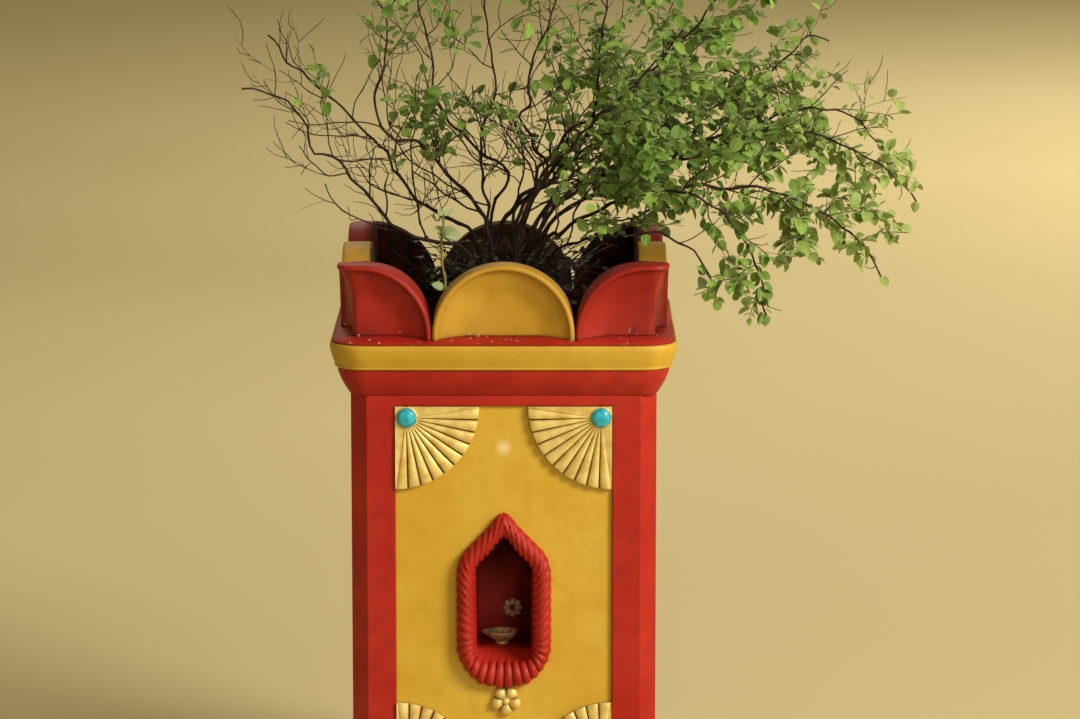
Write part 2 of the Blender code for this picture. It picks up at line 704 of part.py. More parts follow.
def niche():
    """Lamp niche: a box behind the panel and a rope moulding round its mouth, in one casting."""
    mouth = whole_outline(NICHE_MOUTH, NICHE_POINTS)
    outer = whole_outline(NICHE_OUTER, NICHE_POINTS)
    crest = [a.lerp(b, ROPE_CREST_SHARE) for a, b in zip(outer, mouth)]
    ribs = [ROPE_RELIEF if index % 2 else -ROPE_RELIEF for index in range(NICHE_POINTS)]
    inside = [Vector((point.x * 0.95, max(point.y, NICHE_FLOOR))) for point in mouth]
    back = [Vector((point.x * 0.92, max(point.y - max(point.y - 0.30, 0.0) * 0.03, NICHE_FLOOR)))
            for point in mouth]
    face = PANEL_FACE + GAP
    rings = [
        at_depth(grown(back, NICHE_WALL * 0.9), NICHE_BACK - NICHE_WALL),
        at_depth(niche_liner(), face),
        at_depth(outer, face),
        at_depth(outer, face + NICHE_LIP, ribs),
        at_depth(crest, NICHE_CREST, [1.3 * rib for rib in ribs]),
        at_depth(mouth, NICHE_CREST - NICHE_EASE),
        at_depth(inside, NICHE_SILL_DEPTH),
        at_depth(back, NICHE_BACK),
    ]
    return loft("niche", rings, red_paint("red cement paint, niche"))


def niche_rosette():
    """The scalloped rosette on the niche's back wall."""
    def place(u, v, out):
        return (ROSETTE_SEAT[0] + u, -NICHE_BACK - GAP - out, ROSETTE_SEAT[1] + v)

    material = finish("pale plaster paint, rosette", "c9a58c", 0.6)
    return star("niche_rosette", place, ROSETTE_RADIUS, 8, ROSETTE_NOTCH, ROSETTE_LEVELS, material)


def diya():
    """The brass oil lamp: a small footed bowl with a spout."""
    floor = NICHE_FLOOR + GAP
    rings = []
    for share, height in DIYA_PROFILE:
        ring = []
        for column in range(DIYA_SIDES):
            turn = math.tau * column / DIYA_SIDES
            away = min(abs(turn - math.pi), math.tau - abs(turn - math.pi))
            spout = SPOUT_REACH * math.exp(-(away / SPOUT_SPREAD) ** 2) * max(share - 0.5, 0.0) * 2
            reach = DIYA_RADIUS * share * (1 + spout)
            x, y = DIYA_SEAT[0] + reach * math.cos(turn), DIYA_SEAT[1] + reach * math.sin(turn)
            ring.append((x, y, floor + height))
        rings.append(ring)
    return loft("diya", rings, finish("tarnished brass, diya", "8a6a3c", 0.38, 0.9), smooth=True)


# Soil
def soil():
    """The potting soil, mounded a little, with a plain hole for each stem."""
    edge = BASIN_HALF - GAP
    rings = [square(edge, BASIN_FLOOR + GAP, BASIN_CUT), square(edge, SOIL_EDGE, BASIN_CUT)]
    rings += [square(half, SOIL_TOP + drop, corner) for half, drop, corner in SOIL_SHOULDER]
    body = loft("soil", rings, finish("dark potting soil", "3a2a1f", 0.95))
    for name, stem_radius, seat, _ in (*STEMS, SHOOT):
        radius = (stem_radius / 1000 + HOLE_CLEARANCE) / math.cos(math.pi / HOLE_SIDES)
        x, y = seat[0] / 1000, seat[1] / 1000
        hole = rod("cut_" + name, radius, lambda u, v, z, x=x, y=y: (x + u, y + v, z),
                   STEM_FOOT - 0.001, SOIL_TOP + CUT_OVER, HOLE_SIDES)
        cut(body, hole)
    return body


# How the plant grows
def curve_through(points, step):
    """Points about one step apart on a smooth curve through the given ones."""
    ends = [points[0] * 2 - points[1], *points, points[-1] * 2 - points[-2]]
    path = []
    for a, b, c, d in zip(ends, ends[1:], ends[2:], ends[3:]):
        count = max(1, round((c - b).length / step))
        for index in range(count):
            t = index / count
            bend = (2 * a - 5 * b + 4 * c - d) * t * t + (3 * b - a - 3 * c + d) * t ** 3
            path.append((b * 2 + (c - a) * t + bend) / 2)
    path.append(points[-1].copy())
    return path


def main_path(rng, seat, spine):
    """A stem's course: straight in the soil, then through its points with small knees."""
    x, y = seat[0] / 1000, seat[1] / 1000
    collar = Vector((x, y, SOIL_TOP + 0.004))
    path = curve_through([collar, *[Vector(point) / 1000 for point in spine]], MAIN_STEP)
    for point in path[2:-1]:
        point += Vector((rng.gauss(0, KNEE), rng.gauss(0, KNEE), rng.gauss(0, KNEE)))
    path = [Vector((x, y, STEM_FOOT)), *path]
    if len(path) % 2 == 0:
        path.insert(-1, (path[-2] + path[-1]) / 2)
    return path


def taper(thick, thin, count, power=TWIG_TAPER):
    return [thin + (thick - thin) * (1 - index / (count - 1)) ** power for index in range(count)]


def across(direction, turn):
    """A direction square to this one, turned about it."""
    side = direction.cross(UP if abs(direction.z) < 0.9 else Vector((1.0, 0.0, 0.0))).normalized()
    return Matrix.Rotation(turn, 3, direction) @ side


def leafiness(point):
    """How closely the leaves stand here, from 0 to 1."""
    x, z = point.x * 1000, point.z * 1000
    return max(strength * math.exp(-0.8 * (((x - u) / wide) ** 2 + ((z - w) / tall) ** 2) ** 1.5)
               for u, w, wide, tall, strength in LEAFY)


def in_the_open(point):
    """Clear of the pot and inside the plant's outline."""
    over_pot = max(abs(point.x), abs(point.y)) < KEEP_OFF
    lowest = LOWEST_OVER_POT if over_pot else LOWEST_HANGING
    return lowest < point.z < HIGHEST and LEFTMOST < point.x < RIGHTMOST and abs(point.y) < DEEPEST


def shoot_path(rng, seat, heading, reach, lift, count):
    """A wandering twig that turns slowly upward."""
    path = [seat.copy()]
    direction = heading.normalized()
    for _ in range(count - 1):
        wander = Vector((rng.gauss(0, 1), rng.gauss(0, 1), rng.gauss(0, 1))) * SHOOT_WANDER
        direction = (direction + UP * lift + wander).normalized()
        path.append(path[-1] + direction * (reach / (count - 1)))
    return path


def side_shoots(rng, parent, level):
    """The twigs that leave a branch at its joints."""
    path = parent.points
    last = len(path) - 1
    shoots = []
    turn = rng.uniform(0, math.tau)
    for index in range(2, last, 2):
        turn += GOLDEN_ANGLE + rng.uniform(-0.5, 0.5)
        share = index / last
        chance, stretch, rank = rng.random(), rng.uniform(0.6, 1.25), rng.random()
        tangent = (path[index + 1] - path[index - 1]).normalized()
        heading = tangent * SHOOT_FORWARD[level] + across(tangent, turn)
        heading.z = heading.z * (SHOOT_SINKING if heading.z < 0 else 1.0)
        reach = SHOOT_REACH[level] * (1.2 - 0.7 * share) * stretch
        count = 2 * max(1, round(reach / SHOOT_STEP[level] / 2)) + 1
        dense = leafiness(path[index])
        lift = SHOOT_LIFT[level] * (1.0 - 1.3 * dense * (path[index].x > 0.2))
        grown_path = shoot_path(rng, path[index], heading, reach, lift, count)
        if share < FIRST_SHOOT[level] or chance > SHOOT_CHANCE[level]:
            continue
        if not all(in_the_open(point) for point in grown_path[1:]):
            continue
        thick = min(SHOOT_THICKNESS[level], parent.radii[index] * SHOOT_THINNER)
        radii = taper(thick, thick * SHOOT_NARROWING, count)
        shoots.append(Branch(parent.stem, level + 1, grown_path, radii, rank))
    return shoots


def leaves_of(rng, branch, number):
    """Leaves in crossed pairs along a twig, and one at its tip."""
    path = branch.points
    last = len(path) - 1
    found = []
    turn = rng.uniform(0, math.tau)
    for index in range(1, last + 1):
        turn += math.pi / 2 + rng.uniform(-0.3, 0.3)
        tangent = (path[index] - path[index - 1]).normalized()
        for side in (0.0, math.pi):
            chance, stretch, rank = rng.random(), rng.uniform(0.72, 1.12), rng.random()
            heading = tangent * 0.55 + across(tangent, turn + side) * 0.85 - UP * rng.uniform(0.0, 0.45)
            face = UP + Vector((rng.gauss(0, 1), rng.gauss(0, 1), 0.0)) * 0.45
            length = LEAF_LENGTH * stretch * (1.0 - 0.3 * (index / last) ** 2)
            if index == last and side:
                heading = tangent - UP * 0.15
            heading.normalize()
            if index / last < LEAF_START[branch.level] or chance > leafiness(path[index]):
                continue
            seat = path[index] - tangent * (LEAF_SINK if index == last else 0.0)
            if in_the_open(seat + heading * length):
                found.append(Leaf(branch.stem, number, index, seat, heading, face, length, rank))
    return found


def grow():
    """Every branch and leaf of the plant."""
    branches = []
    for stem, (_, radius, seat, spine) in enumerate(STEMS):
        rng = random.Random(PLANT_SEED * 100 + stem)
        path = main_path(rng, seat, spine)
        level_now = [Branch(stem, 0, path, taper(radius / 1000, STEM_TIP, len(path), STEM_TAPER), 0.0)]
        branches += level_now
        for level in range(SIDE_LEVELS):
            level_now = [shoot for branch in level_now for shoot in side_shoots(rng, branch, level)]
            branches += level_now
    leaves = []
    for number, branch in enumerate(branches):
        rng = random.Random(PLANT_SEED * 100000 + number)
        leaves += leaves_of(rng, branch, number)
    return branches, leaves


# The plant's solids
def tube(path, radii, sides):
    """Points and faces of a closed tapering tube."""
    points = []
    tangent = (path[1] - path[0]).normalized()
    normal = across(tangent, 0.4)
    for index, point in enumerate(path):
        tangent = (path[min(index + 1, len(path) - 1)] - path[max(index - 1, 0)]).normalized()
        normal = (normal - tangent * normal.dot(tangent)).normalized()
        side = tangent.cross(normal)
        for step in range(sides):
            turn = math.tau * step / sides
            points.append(point + (normal * math.cos(turn) + side * math.sin(turn)) * radii[index])
    faces = [tuple(reversed(range(sides))), tuple(range(len(points) - sides, len(points)))]
    for ring in range(len(path) - 1):
        for step in range(sides):
            after = (step + 1) % sides
            low = ring * sides
            faces.append((low + step, low + after, low + sides + after, low + sides + step))
    return points, faces


def branch_solid(branch, grow_by=0.0):
    """The tube of a branch through every second of its points."""
    path = branch.points[::2]
    radii = [max(radius, THINNEST_SOLID) + grow_by for radius in branch.radii[::2]]
    if branch.level == 0:
        path = [branch.points[0], branch.points[1], *branch.points[4::2]]
        radii = [radii[0], radii[0], *radii[2:]]
    return tube(path, radii, SOLID_SIDES[branch.level])


def leaf_solid(leaf, grow_by=0.0):
    """A thin arched blade, split alike on both faces."""
    side = leaf.heading.cross(leaf.face).normalized()
    up = side.cross(leaf.heading).normalized()
    size = leaf.length
    seat = leaf.seat + leaf.heading * GAP
    half = LEAF_THICKNESS / 2 + grow_by
    points = []
    for lift in (half, -half):
        for along, wide, rise in LEAF_SHAPE:
            points.append(seat + leaf.heading * along * size + side * wide * size + up * (rise * size + lift))
    faces = []
    for a, b, c in ((0, 1, 5), (1, 2, 5), (2, 4, 5), (2, 3, 4)):
        faces.append((a, b, c))
        faces.append((c + 6, b + 6, a + 6))
    for a in range(6):
        b = (a + 1) % 6
        faces.append((b, a, a + 6, b + 6))
    return points, faces


class Thicket:
    """What has been placed so far, to keep later pieces clear of it."""

    def __init__(self):
        self.placed = []

    def clashes(self, points, faces, parent):
        low, high = bounds_of(points)
        tree = BVHTree.FromPolygons(points, faces)
        for key, other_low, other_high, other in self.placed:
            if key == parent:
                continue
            if any(high[axis] < other_low[axis] or other_high[axis] < low[axis] for axis in range(3)):
                continue
            if tree.overlap(other):
                return key
        return None

    def add(self, key, points, faces):
        self.placed.append((key, *bounds_of(points), BVHTree.FromPolygons(points, faces)))


def bounds_of(points):
    low = [min(point[axis] for point in points) for axis in range(3)]
    high = [max(point[axis] for point in points) for axis in range(3)]
    return low, high


def parents_of(branches):
    """Which branch each branch grows from."""
    found = {}
    for number, branch in enumerate(branches):
        for other, candidate in enumerate(branches):
            if candidate.stem == branch.stem and candidate.level == branch.level - 1:
                if any(point is branch.points[0] or (point - branch.points[0]).length < 1e-9
                       for point in candidate.points[::2]):
                    found[number] = other
                    break
    return found


def shoot_stalk():
    """The young green stalk at the left."""
    _, radius, seat, spine = SHOOT
    path = main_path(random.Random(PLANT_SEED + 1), seat, spine)
    return Branch(len(STEMS), 0, path, taper(radius / 1000, SHOOT_TIP, len(path)), 0.0)


def shoot_leaves(stalk):
    """A pair of broad leaves low on the stalk and a small tuft at its tip."""
    leaves = []
    for index, heading, length in SHOOT_LEAVES:
        seat = stalk.points[min(index, len(stalk.points) - 1)]
        face = UP + Vector((0.2, -0.4, 0.0))
        leaves.append(Leaf(stalk.stem, 0, index, seat, Vector(heading).normalized(), face, length, 0.0))
    return leaves


def choose_solids(branches, leaves):
    """The branches and leaves that the solids keep, all clear of each other: lists of meshes by stem."""
    thicket = Thicket()
    kept = collections.defaultdict(list)
    parents = parents_of(branches)
    standing = set()
    order = sorted(range(len(branches)), key=lambda number: (branches[number].level, branches[number].rank))
    for number in order:
        branch = branches[number]
        if branch.level >= len(SOLID_SHARE) or branch.rank > SOLID_SHARE[branch.level]:
            continue
        parent = parents.get(number)
        if branch.level and parent not in standing:
            continue
        clash = thicket.clashes(*branch_solid(branch, SOLID_CLEARANCE), parent)
        if clash is not None:
            if branch.level == 0:
                print("main stems meet:", STEMS[branch.stem][0], STEMS[branches[clash].stem][0])
            continue
        standing.add(number)
        thicket.add(number, *branch_solid(branch))
        kept[branch.stem].append(branch_solid(branch))
    ranked = [leaf for leaf in leaves if leaf.branch in standing and leaf.joint % 2 == 0]
    ranked.sort(key=lambda leaf: (leaf.joint != len(branches[leaf.branch].points) - 1, leaf.rank))
    count = 0
    for leaf in ranked:
        if count >= SOLID_LEAVES:
            break
        if thicket.clashes(*leaf_solid(leaf, SOLID_CLEARANCE), leaf.branch) is not None:
            continue
        thicket.add(-1, *leaf_solid(leaf))
        kept[leaf.stem].append(leaf_solid(leaf))
        count += 1
    print("branches kept", len(standing), "of", len(branches), "leaves kept", count, "of", len(leaves))
    return kept, thicket


def fuse(name, meshes, material):
    """Joins a stem, its twigs and its leaves into one solid."""
    body = mesh_object(name, *meshes[0], material)
    if len(meshes) > 1:
        others = bpy.data.collections.new(name + " parts")
        bpy.context.scene.collection.children.link(others)
        for index, (points, faces) in enumerate(meshes[1:]):
            extra = mesh_object("%s_part_%d" % (name, index), points, faces)
            bpy.context.scene.collection.objects.unlink(extra)
            others.objects.link(extra)
        union = body.modifiers.new("union", "BOOLEAN")
        union.operation = "UNION"
        union.operand_type = "COLLECTION"
        union.collection = others
        union.solver = "MANIFOLD"
        graph = bpy.context.evaluated_depsgraph_get()
        fused = bpy.data.meshes.new_from_object(body.evaluated_get(graph))
        body.modifiers.clear()
        body.data = fused
        for extra in list(others.objects):
            bpy.data.objects.remove(extra)
        bpy.data.collections.remove(others)
    keep_one_body(body)
    triangles = sum(len(face.vertices) - 2 for face in body.data.polygons)
    print(name, "pieces", len(meshes), "triangles", triangles)
    return body


def keep_one_body(body):
    """Drops loose scraps, so that the solid is one body."""
    work = bmesh.new()
    work.from_mesh(body.data)
    seen = set()
    groups = []
    for start in work.verts:
        if start in seen:
            continue
        group = [start]
        seen.add(start)
        for vertex in group:
            for edge in vertex.link_edges:
                other = edge.other_vert(vertex)
                if other not in seen:
                    seen.add(other)
                    group.append(other)
        groups.append(group)
    groups.sort(key=len, reverse=True)
    if len(groups) > 1:
        print(body.name, "scraps dropped:", [len(group) for group in groups[1:]])
    for group in groups[1:]:
        bmesh.ops.delete(work, geom=group, context="VERTS")
    work.to_mesh(body.data)
    work.free()


def plant():
    branches, leaves = grow()
    kept, thicket = choose_solids(branches, leaves)
    for stem, (name, *_) in enumerate(STEMS):
        fuse(name, kept[stem], finish("basil stem and leaves, " + name, "5c6b2c", 0.6))
    stalk = shoot_stalk()
    meshes = [branch_solid(stalk)]
    clash = thicket.clashes(*branch_solid(stalk, SOLID_CLEARANCE), None)
    if clash is not None:
        print("the green shoot meets", clash)
    for leaf in shoot_leaves(stalk):
        if thicket.clashes(*leaf_solid(leaf, SOLID_CLEARANCE), None) is None:
            meshes.append(leaf_solid(leaf))
    fuse(SHOOT[0], meshes, finish("young green stalk", "9a9a3c", 0.6))


def build():
    clear_scene()
    plinth()
    pillar()
    panels()
    cornice()
    rim_band()
    rim_ledge()
    middle_petals()
    corner_petals()
    fans_and_beads()
    gold_flower()
    niche()
    niche_rosette()
    diya()
    soil()
    plant()


build()
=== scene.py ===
# %% [markdown]
# # A holy basil in its lotus-rimmed pot
# The solid model of the pot and the plant comes in as a fixed frame. Every finer piece below is made in the
# same coordinates, in metres, with the front of the pot towards -Y and its foot on the ground at z = 0.

# %% Load the frame
import collections
import itertools
import json
import math
import random

import bmesh
import bpy
from mathutils import Matrix, Vector, noise

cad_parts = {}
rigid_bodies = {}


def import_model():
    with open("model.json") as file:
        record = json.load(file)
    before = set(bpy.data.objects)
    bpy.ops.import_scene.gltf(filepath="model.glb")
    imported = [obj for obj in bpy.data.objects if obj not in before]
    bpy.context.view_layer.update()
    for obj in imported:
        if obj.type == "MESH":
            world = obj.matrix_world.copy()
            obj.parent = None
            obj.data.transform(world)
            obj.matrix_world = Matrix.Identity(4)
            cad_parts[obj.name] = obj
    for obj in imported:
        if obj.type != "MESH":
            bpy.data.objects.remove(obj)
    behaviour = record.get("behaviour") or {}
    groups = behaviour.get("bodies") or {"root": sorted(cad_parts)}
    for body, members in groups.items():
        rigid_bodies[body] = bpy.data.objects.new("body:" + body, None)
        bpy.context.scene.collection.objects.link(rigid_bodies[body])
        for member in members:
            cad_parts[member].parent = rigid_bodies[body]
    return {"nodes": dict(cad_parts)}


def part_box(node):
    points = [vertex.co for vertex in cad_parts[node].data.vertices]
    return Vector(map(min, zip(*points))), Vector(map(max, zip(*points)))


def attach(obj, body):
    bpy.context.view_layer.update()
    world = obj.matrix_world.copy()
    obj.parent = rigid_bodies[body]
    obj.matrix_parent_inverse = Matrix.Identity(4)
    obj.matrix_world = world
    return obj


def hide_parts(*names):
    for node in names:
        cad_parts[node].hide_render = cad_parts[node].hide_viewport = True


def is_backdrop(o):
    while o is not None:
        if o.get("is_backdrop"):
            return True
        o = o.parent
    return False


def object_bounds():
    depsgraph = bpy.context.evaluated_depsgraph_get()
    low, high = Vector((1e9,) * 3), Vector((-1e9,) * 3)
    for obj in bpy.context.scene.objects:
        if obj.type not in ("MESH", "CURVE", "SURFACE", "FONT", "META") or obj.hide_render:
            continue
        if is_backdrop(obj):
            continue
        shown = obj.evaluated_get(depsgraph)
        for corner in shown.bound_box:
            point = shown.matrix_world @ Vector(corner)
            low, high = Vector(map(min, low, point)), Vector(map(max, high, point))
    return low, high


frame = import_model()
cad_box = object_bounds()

print("solids in the frame:", len(frame["nodes"]))
print("size of the frame:", [round(high - low, 3) for low, high in zip(*cad_box)])


# %% [markdown]
# Each piece starts as a list of points and faces. One helper closes it, turns its faces outward, rounds its
# shading except at real edges, and keeps values at its points, such as how much dirt and painted shade darken
# the paint there. Another says which solid of the frame the piece stands for.

# %% Helpers for pieces
UP = Vector((0.0, 0.0, 1.0))


def make_piece(name, points, faces, material, sharp=40, **values):
    """A mesh object at the origin. Extra lists become values at its points."""
    mesh = bpy.data.meshes.new(name)
    mesh.from_pydata([tuple(point) for point in points], [], faces)
    work = bmesh.new()
    work.from_mesh(mesh)
    bmesh.ops.recalc_face_normals(work, faces=work.faces[:])
    work.to_mesh(mesh)
    work.free()
    mesh.shade_smooth()
    mesh.set_sharp_from_angle(angle=math.radians(sharp))
    for key, numbers in values.items():
        mesh.attributes.new(key, "FLOAT", "POINT").data.foreach_set("value", numbers)
    mesh.materials.append(material)
    made = bpy.data.objects.new(name, mesh)
    bpy.context.scene.collection.objects.link(made)
    return made


def stand_for(made, node):
    """The piece rides on the pot and is shown in the place of the solid, which is hidden."""
    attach(made, "root")
    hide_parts(node)
    return made


def clamp(value):
    """The value, kept from 0 to 1."""
    return min(max(value, 0.0), 1.0)


def turned(point, quarter):
    """The point turned about the pot's axis by whole right angles."""
    x, y, z = point
    for _ in range(quarter % 4):
        x, y = -y, x
    return (x, y, z)


print("a point turned once:", turned((1.0, 0.0, 0.0), 1))


# %% [markdown]
# Materials are node trees. A single helper adds any node, links or sets its inputs and hands back the output
# that the next node needs, so a material reads from its textures to its shader. Another lays coats of colour
# over each other, as years of paint, dirt and wear do. Colours are written as the codes of a colour chart and
# turned into linear light once, and the scale of each pattern is worked out from the size of its marks on the
# real surface, in millimetres.

# %% Helpers for materials
def linear(code):
    """Linear colour of an sRGB hex code."""
    parts = [int(code[at:at + 2], 16) / 255 for at in (0, 2, 4)]
    made = [part / 12.92 if part <= 0.04045 else ((part + 0.055) / 1.055) ** 2.4 for part in parts]
    return (*made, 1.0)


def marks(millimetres):
    """Texture scale for marks this far apart."""
    return 1000.0 / millimetres


def join(node, inputs):
    """Links a node's inputs to sockets, or sets them to numbers or colours."""
    for key, value in inputs.items():
        if isinstance(value, bpy.types.NodeSocket):
            node.id_data.links.new(value, node.inputs[key])
        else:
            node.inputs[key].default_value = value


def add(tree, kind, inputs=None, out=0, **settings):
    """Adds a node, with its inputs and settings. Gives back one output, or the node where out is None."""
    made = tree.nodes.new(kind)
    for key, value in settings.items():
        setattr(made, key, value)
    join(made, inputs or {})
    return made if out is None else made.outputs[out]


def new_material(name):
    """An empty material: its name, tree, shader and the object's own coordinates."""
    made = bpy.data.materials.new(name)
    made.use_nodes = True
    tree = made.node_tree
    place = add(tree, "ShaderNodeTexCoord", None, "Object")
    return made, tree, tree.nodes["Principled BSDF"], place


def coats(tree, colour, layers):
    """Coats of colour laid over one. A coat is its share and its colour; three more numbers say where a pattern
    starts to show it, where it is full, and how much of it there is then."""
    for share, code, *reach in layers:
        if reach:
            share = add(tree, "ShaderNodeMapRange", {0: share, 1: reach[0], 2: reach[1], 4: reach[2]})
        colour = add(tree, "ShaderNodeMix", {0: share, 6: colour, 7: linear(code)}, 2, data_type="RGBA")
    return colour


print("middle grey in linear light:", round(linear("808080")[0], 3))


# %% [markdown]
# The pot is cast cement under brushed oil paint. Such paint is never one flat colour: it fades in clouds a
# hand wide, keeps faint brush lines, is glossy where it is thick, gathers dirt in the corners and chips along
# the edges. The corners, creases and hollows also take painted shade, laid on together with the dirt. The
# Bevel node rounds the light along every edge, and where its normal leaves that of the flat face it also shows
# where the edges are, so the wear can sit on them.

# %% Painted cement
# dark colour of dirt, also laid on as painted shade in corners, creases and hollows
DIRT_AND_SHADE = "1c0c09"
UNDERCOAT = "d9c6ae"
MUD = "6b5138"
EDGE_ROUNDING = 0.0026
SPLASH_HEIGHT = 0.17


def painted_cement(name, fresh, faded, deep, spot=None):
    """Oil paint brushed on cast cement: cloudy colour, faint brush lines, dull dirt with painted shade, soft gloss
    on edges.
    """
    made, tree, shader, place = new_material(name)
    clouds, lumps, flecks, grain = (
        add(tree, "ShaderNodeTexNoise", {"Vector": place, "Scale": marks(size), "Detail": detail})
        for size, detail in ((130, 4.0), (24, 3.0), (5.5, 2.0), (2.2, 2.0)))
    upright = add(tree, "ShaderNodeMapping", {"Vector": place, "Scale": (1.0, 1.0, 0.16)})
    brush = add(tree, "ShaderNodeTexNoise", {"Vector": upright, "Scale": marks(7), "Detail": 3.0})

    # Fading, deeper patches, then brush lines
    colour = coats(tree, linear(fresh), ((clouds, faded, 0.42, 0.70, 1.0), (lumps, deep, 0.45, 0.80, 0.45),
                                         (brush, deep, 0.52, 0.78, 0.16)))

    # One worn place where a nail or a garland rubbed
    if spot:
        middle, radius, bare = spot
        away = add(tree, "ShaderNodeVectorMath", {0: place, 1: middle}, "Value", operation="DISTANCE")
        colour = coats(tree, colour, [(away, bare, radius, radius * 0.1, 0.7)])

    # Rubbed edges
    rounded = add(tree, "ShaderNodeBevel", {"Radius": EDGE_ROUNDING}, samples=4)
    flat = add(tree, "ShaderNodeNewGeometry", None, "Normal")
    along = add(tree, "ShaderNodeVectorMath", {0: rounded, 1: flat}, "Value", operation="DOT_PRODUCT")
    edge = add(tree, "ShaderNodeMapRange", {0: along, 1: 0.995, 2: 0.90, 4: 0.6})
    patchy = add(tree, "ShaderNodeMapRange", {0: lumps, 1: 0.50, 2: 0.62})
    rubbed = add(tree, "ShaderNodeMath", {0: edge, 1: patchy}, operation="MULTIPLY")

    # Dirt, and painted shade in the corners, creases and inside the petals
    grime = add(tree, "ShaderNodeAttribute", None, "Fac", attribute_name="grime")
    uneven = add(tree, "ShaderNodeMapRange", {0: lumps, 1: 0.25, 2: 0.60, 3: 0.80, 4: 1.0})
    dirt_and_shade = add(tree, "ShaderNodeMath", {0: grime, 1: uneven}, operation="MULTIPLY")

    # Flakes off the white undercoat along the petals' feet
    worn = add(tree, "ShaderNodeAttribute", None, "Fac", attribute_name="worn")
    flaked = add(tree, "ShaderNodeMapRange", {0: flecks, 1: 0.64, 2: 0.69})
    here = add(tree, "ShaderNodeMapRange", {0: lumps, 1: 0.50, 2: 0.56})
    flaked = add(tree, "ShaderNodeMath", {0: flaked, 1: here}, operation="MULTIPLY")
    flaked = add(tree, "ShaderNodeMath", {0: worn, 1: flaked}, operation="MULTIPLY")

    # Splashes of mud low down
    height = add(tree, "ShaderNodeSeparateXYZ", {0: place}, "Z")
    low = add(tree, "ShaderNodeMapRange", {0: height, 1: SPLASH_HEIGHT, 2: 0.0, 4: 0.55})
    spots = add(tree, "ShaderNodeMapRange", {0: lumps, 1: 0.35, 2: 0.62})
    splashed = add(tree, "ShaderNodeMath", {0: low, 1: spots}, operation="MULTIPLY")
    colour = coats(tree, colour, ((rubbed, faded), (dirt_and_shade, DIRT_AND_SHADE), (flaked, UNDERCOAT), (splashed, MUD)))

    # Lumps, brush marks and the cement's own grain stand up under a soft gloss
    shine = add(tree, "ShaderNodeMapRange", {0: brush, 1: 0.3, 2: 0.7, 3: 0.42, 4: 0.56})
    dull = add(tree, "ShaderNodeMath", {0: grime, 1: 0.5, 2: shine}, operation="MULTIPLY_ADD")
    relief = rounded
    for pattern, strength, depth in ((lumps, 0.22, 0.0014), (brush, 0.16, 0.0005), (grain, 0.14, 0.0003)):
        relief = add(tree, "ShaderNodeBump", {"Strength": strength, "Distance": depth, "Height": pattern,
                                              "Normal": relief})
    join(shader, {"Base Color": colour, "Roughness": dull, "Normal": relief, "Specular IOR Level": 0.30})
    return made


red = painted_cement("red oil paint on cement", "a71d12", "b72d20", "7c130b")
# painted shade: the petals take a darker copy of the red, as their dished faces lean back into the light
red_petal_shaded = painted_cement("red oil paint, petals, painted shade", "951a11", "a6291d", "6e120b")
yellow = painted_cement("yellow oil paint on cement", "c29a2a", "cfaa40", "ad8220")
# painted shade: a darker copy of the yellow for the petals, whose dished faces lean back into the light
yellow_petal_shaded = painted_cement("yellow oil paint, petals, painted shade", "b58b25", "c49c3a", "9d7318")
worn_place = (Vector((0.0, -0.1875, 0.553)), 0.0125, "ecd9ae")
yellow_front = painted_cement("yellow oil paint, front panel", "c9a232", "d2b046", "b88d24", worn_place)
print("paints:", ", ".join(paint.name for paint in (red, red_petal_shaded, yellow, yellow_petal_shaded, yellow_front)))


# %% [markdown]
# The other finishes of the pot are small: gold powder paint on the fans and the flower, with painted shade in
# the grooves, glossy turquoise enamel on the beads, brass gone brown on the lamp, chalky plaster paint on the
# rosette and crumbly damp soil.

# %% Gold paint and enamel
def gold_paint():
    """Gold powder in varnish, brushed on relief: a broken sparkle, with painted shade darkening the grooves."""
    made, tree, shader, place = new_material("gold powder paint")
    wear = add(tree, "ShaderNodeTexNoise", {"Vector": place, "Scale": marks(16), "Detail": 4.0})
    speckle = add(tree, "ShaderNodeTexNoise", {"Vector": place, "Scale": marks(1.8), "Detail": 2.0})
    groove = add(tree, "ShaderNodeAttribute", None, "Fac", attribute_name="groove")
    # the dark brown in the grooves is painted shade
    colour = coats(tree, linear("ebd484"), ((wear, "cba754", 0.40, 0.72, 1.0),
                                            (speckle, "b08a34", 0.55, 0.80, 0.35), (groove, "4a3410")))
    shine = add(tree, "ShaderNodeMapRange", {0: wear, 1: 0.3, 2: 0.7, 3: 0.36, 4: 0.52})
    relief = add(tree, "ShaderNodeBump", {"Strength": 0.3, "Distance": 0.0004, "Height": speckle})
    join(shader, {"Base Color": colour, "Roughness": shine, "Normal": relief, "Metallic": 0.25})
    return made


def turquoise_enamel():
    """Enamel poured on a bead: a wet gloss over slightly uneven colour."""
    made, tree, shader, place = new_material("turquoise enamel")
    mottle = add(tree, "ShaderNodeTexNoise", {"Vector": place, "Scale": marks(6), "Detail": 3.0})
    colour = coats(tree, linear("1496b2"), [(mottle, "3abdd8", 0.35, 0.65, 1.0)])
    shine = add(tree, "ShaderNodeMapRange", {0: mottle, 1: 0.3, 2: 0.7, 3: 0.14, 4: 0.28})
    relief = add(tree, "ShaderNodeBump", {"Strength": 0.15, "Distance": 0.0005, "Height": mottle})
    join(shader, {"Base Color": colour, "Roughness": shine, "Normal": relief})
    return made


gold = gold_paint()
enamel = turquoise_enamel()
print("finishes:", gold.name, "and", enamel.name)


# %% [markdown]
# The lamp, the rosette and the soil are duller, and each has a grain of its own. A noise of that size moves
# the colour, the roughness and the relief together, as one patch of patina or crumb of soil does.

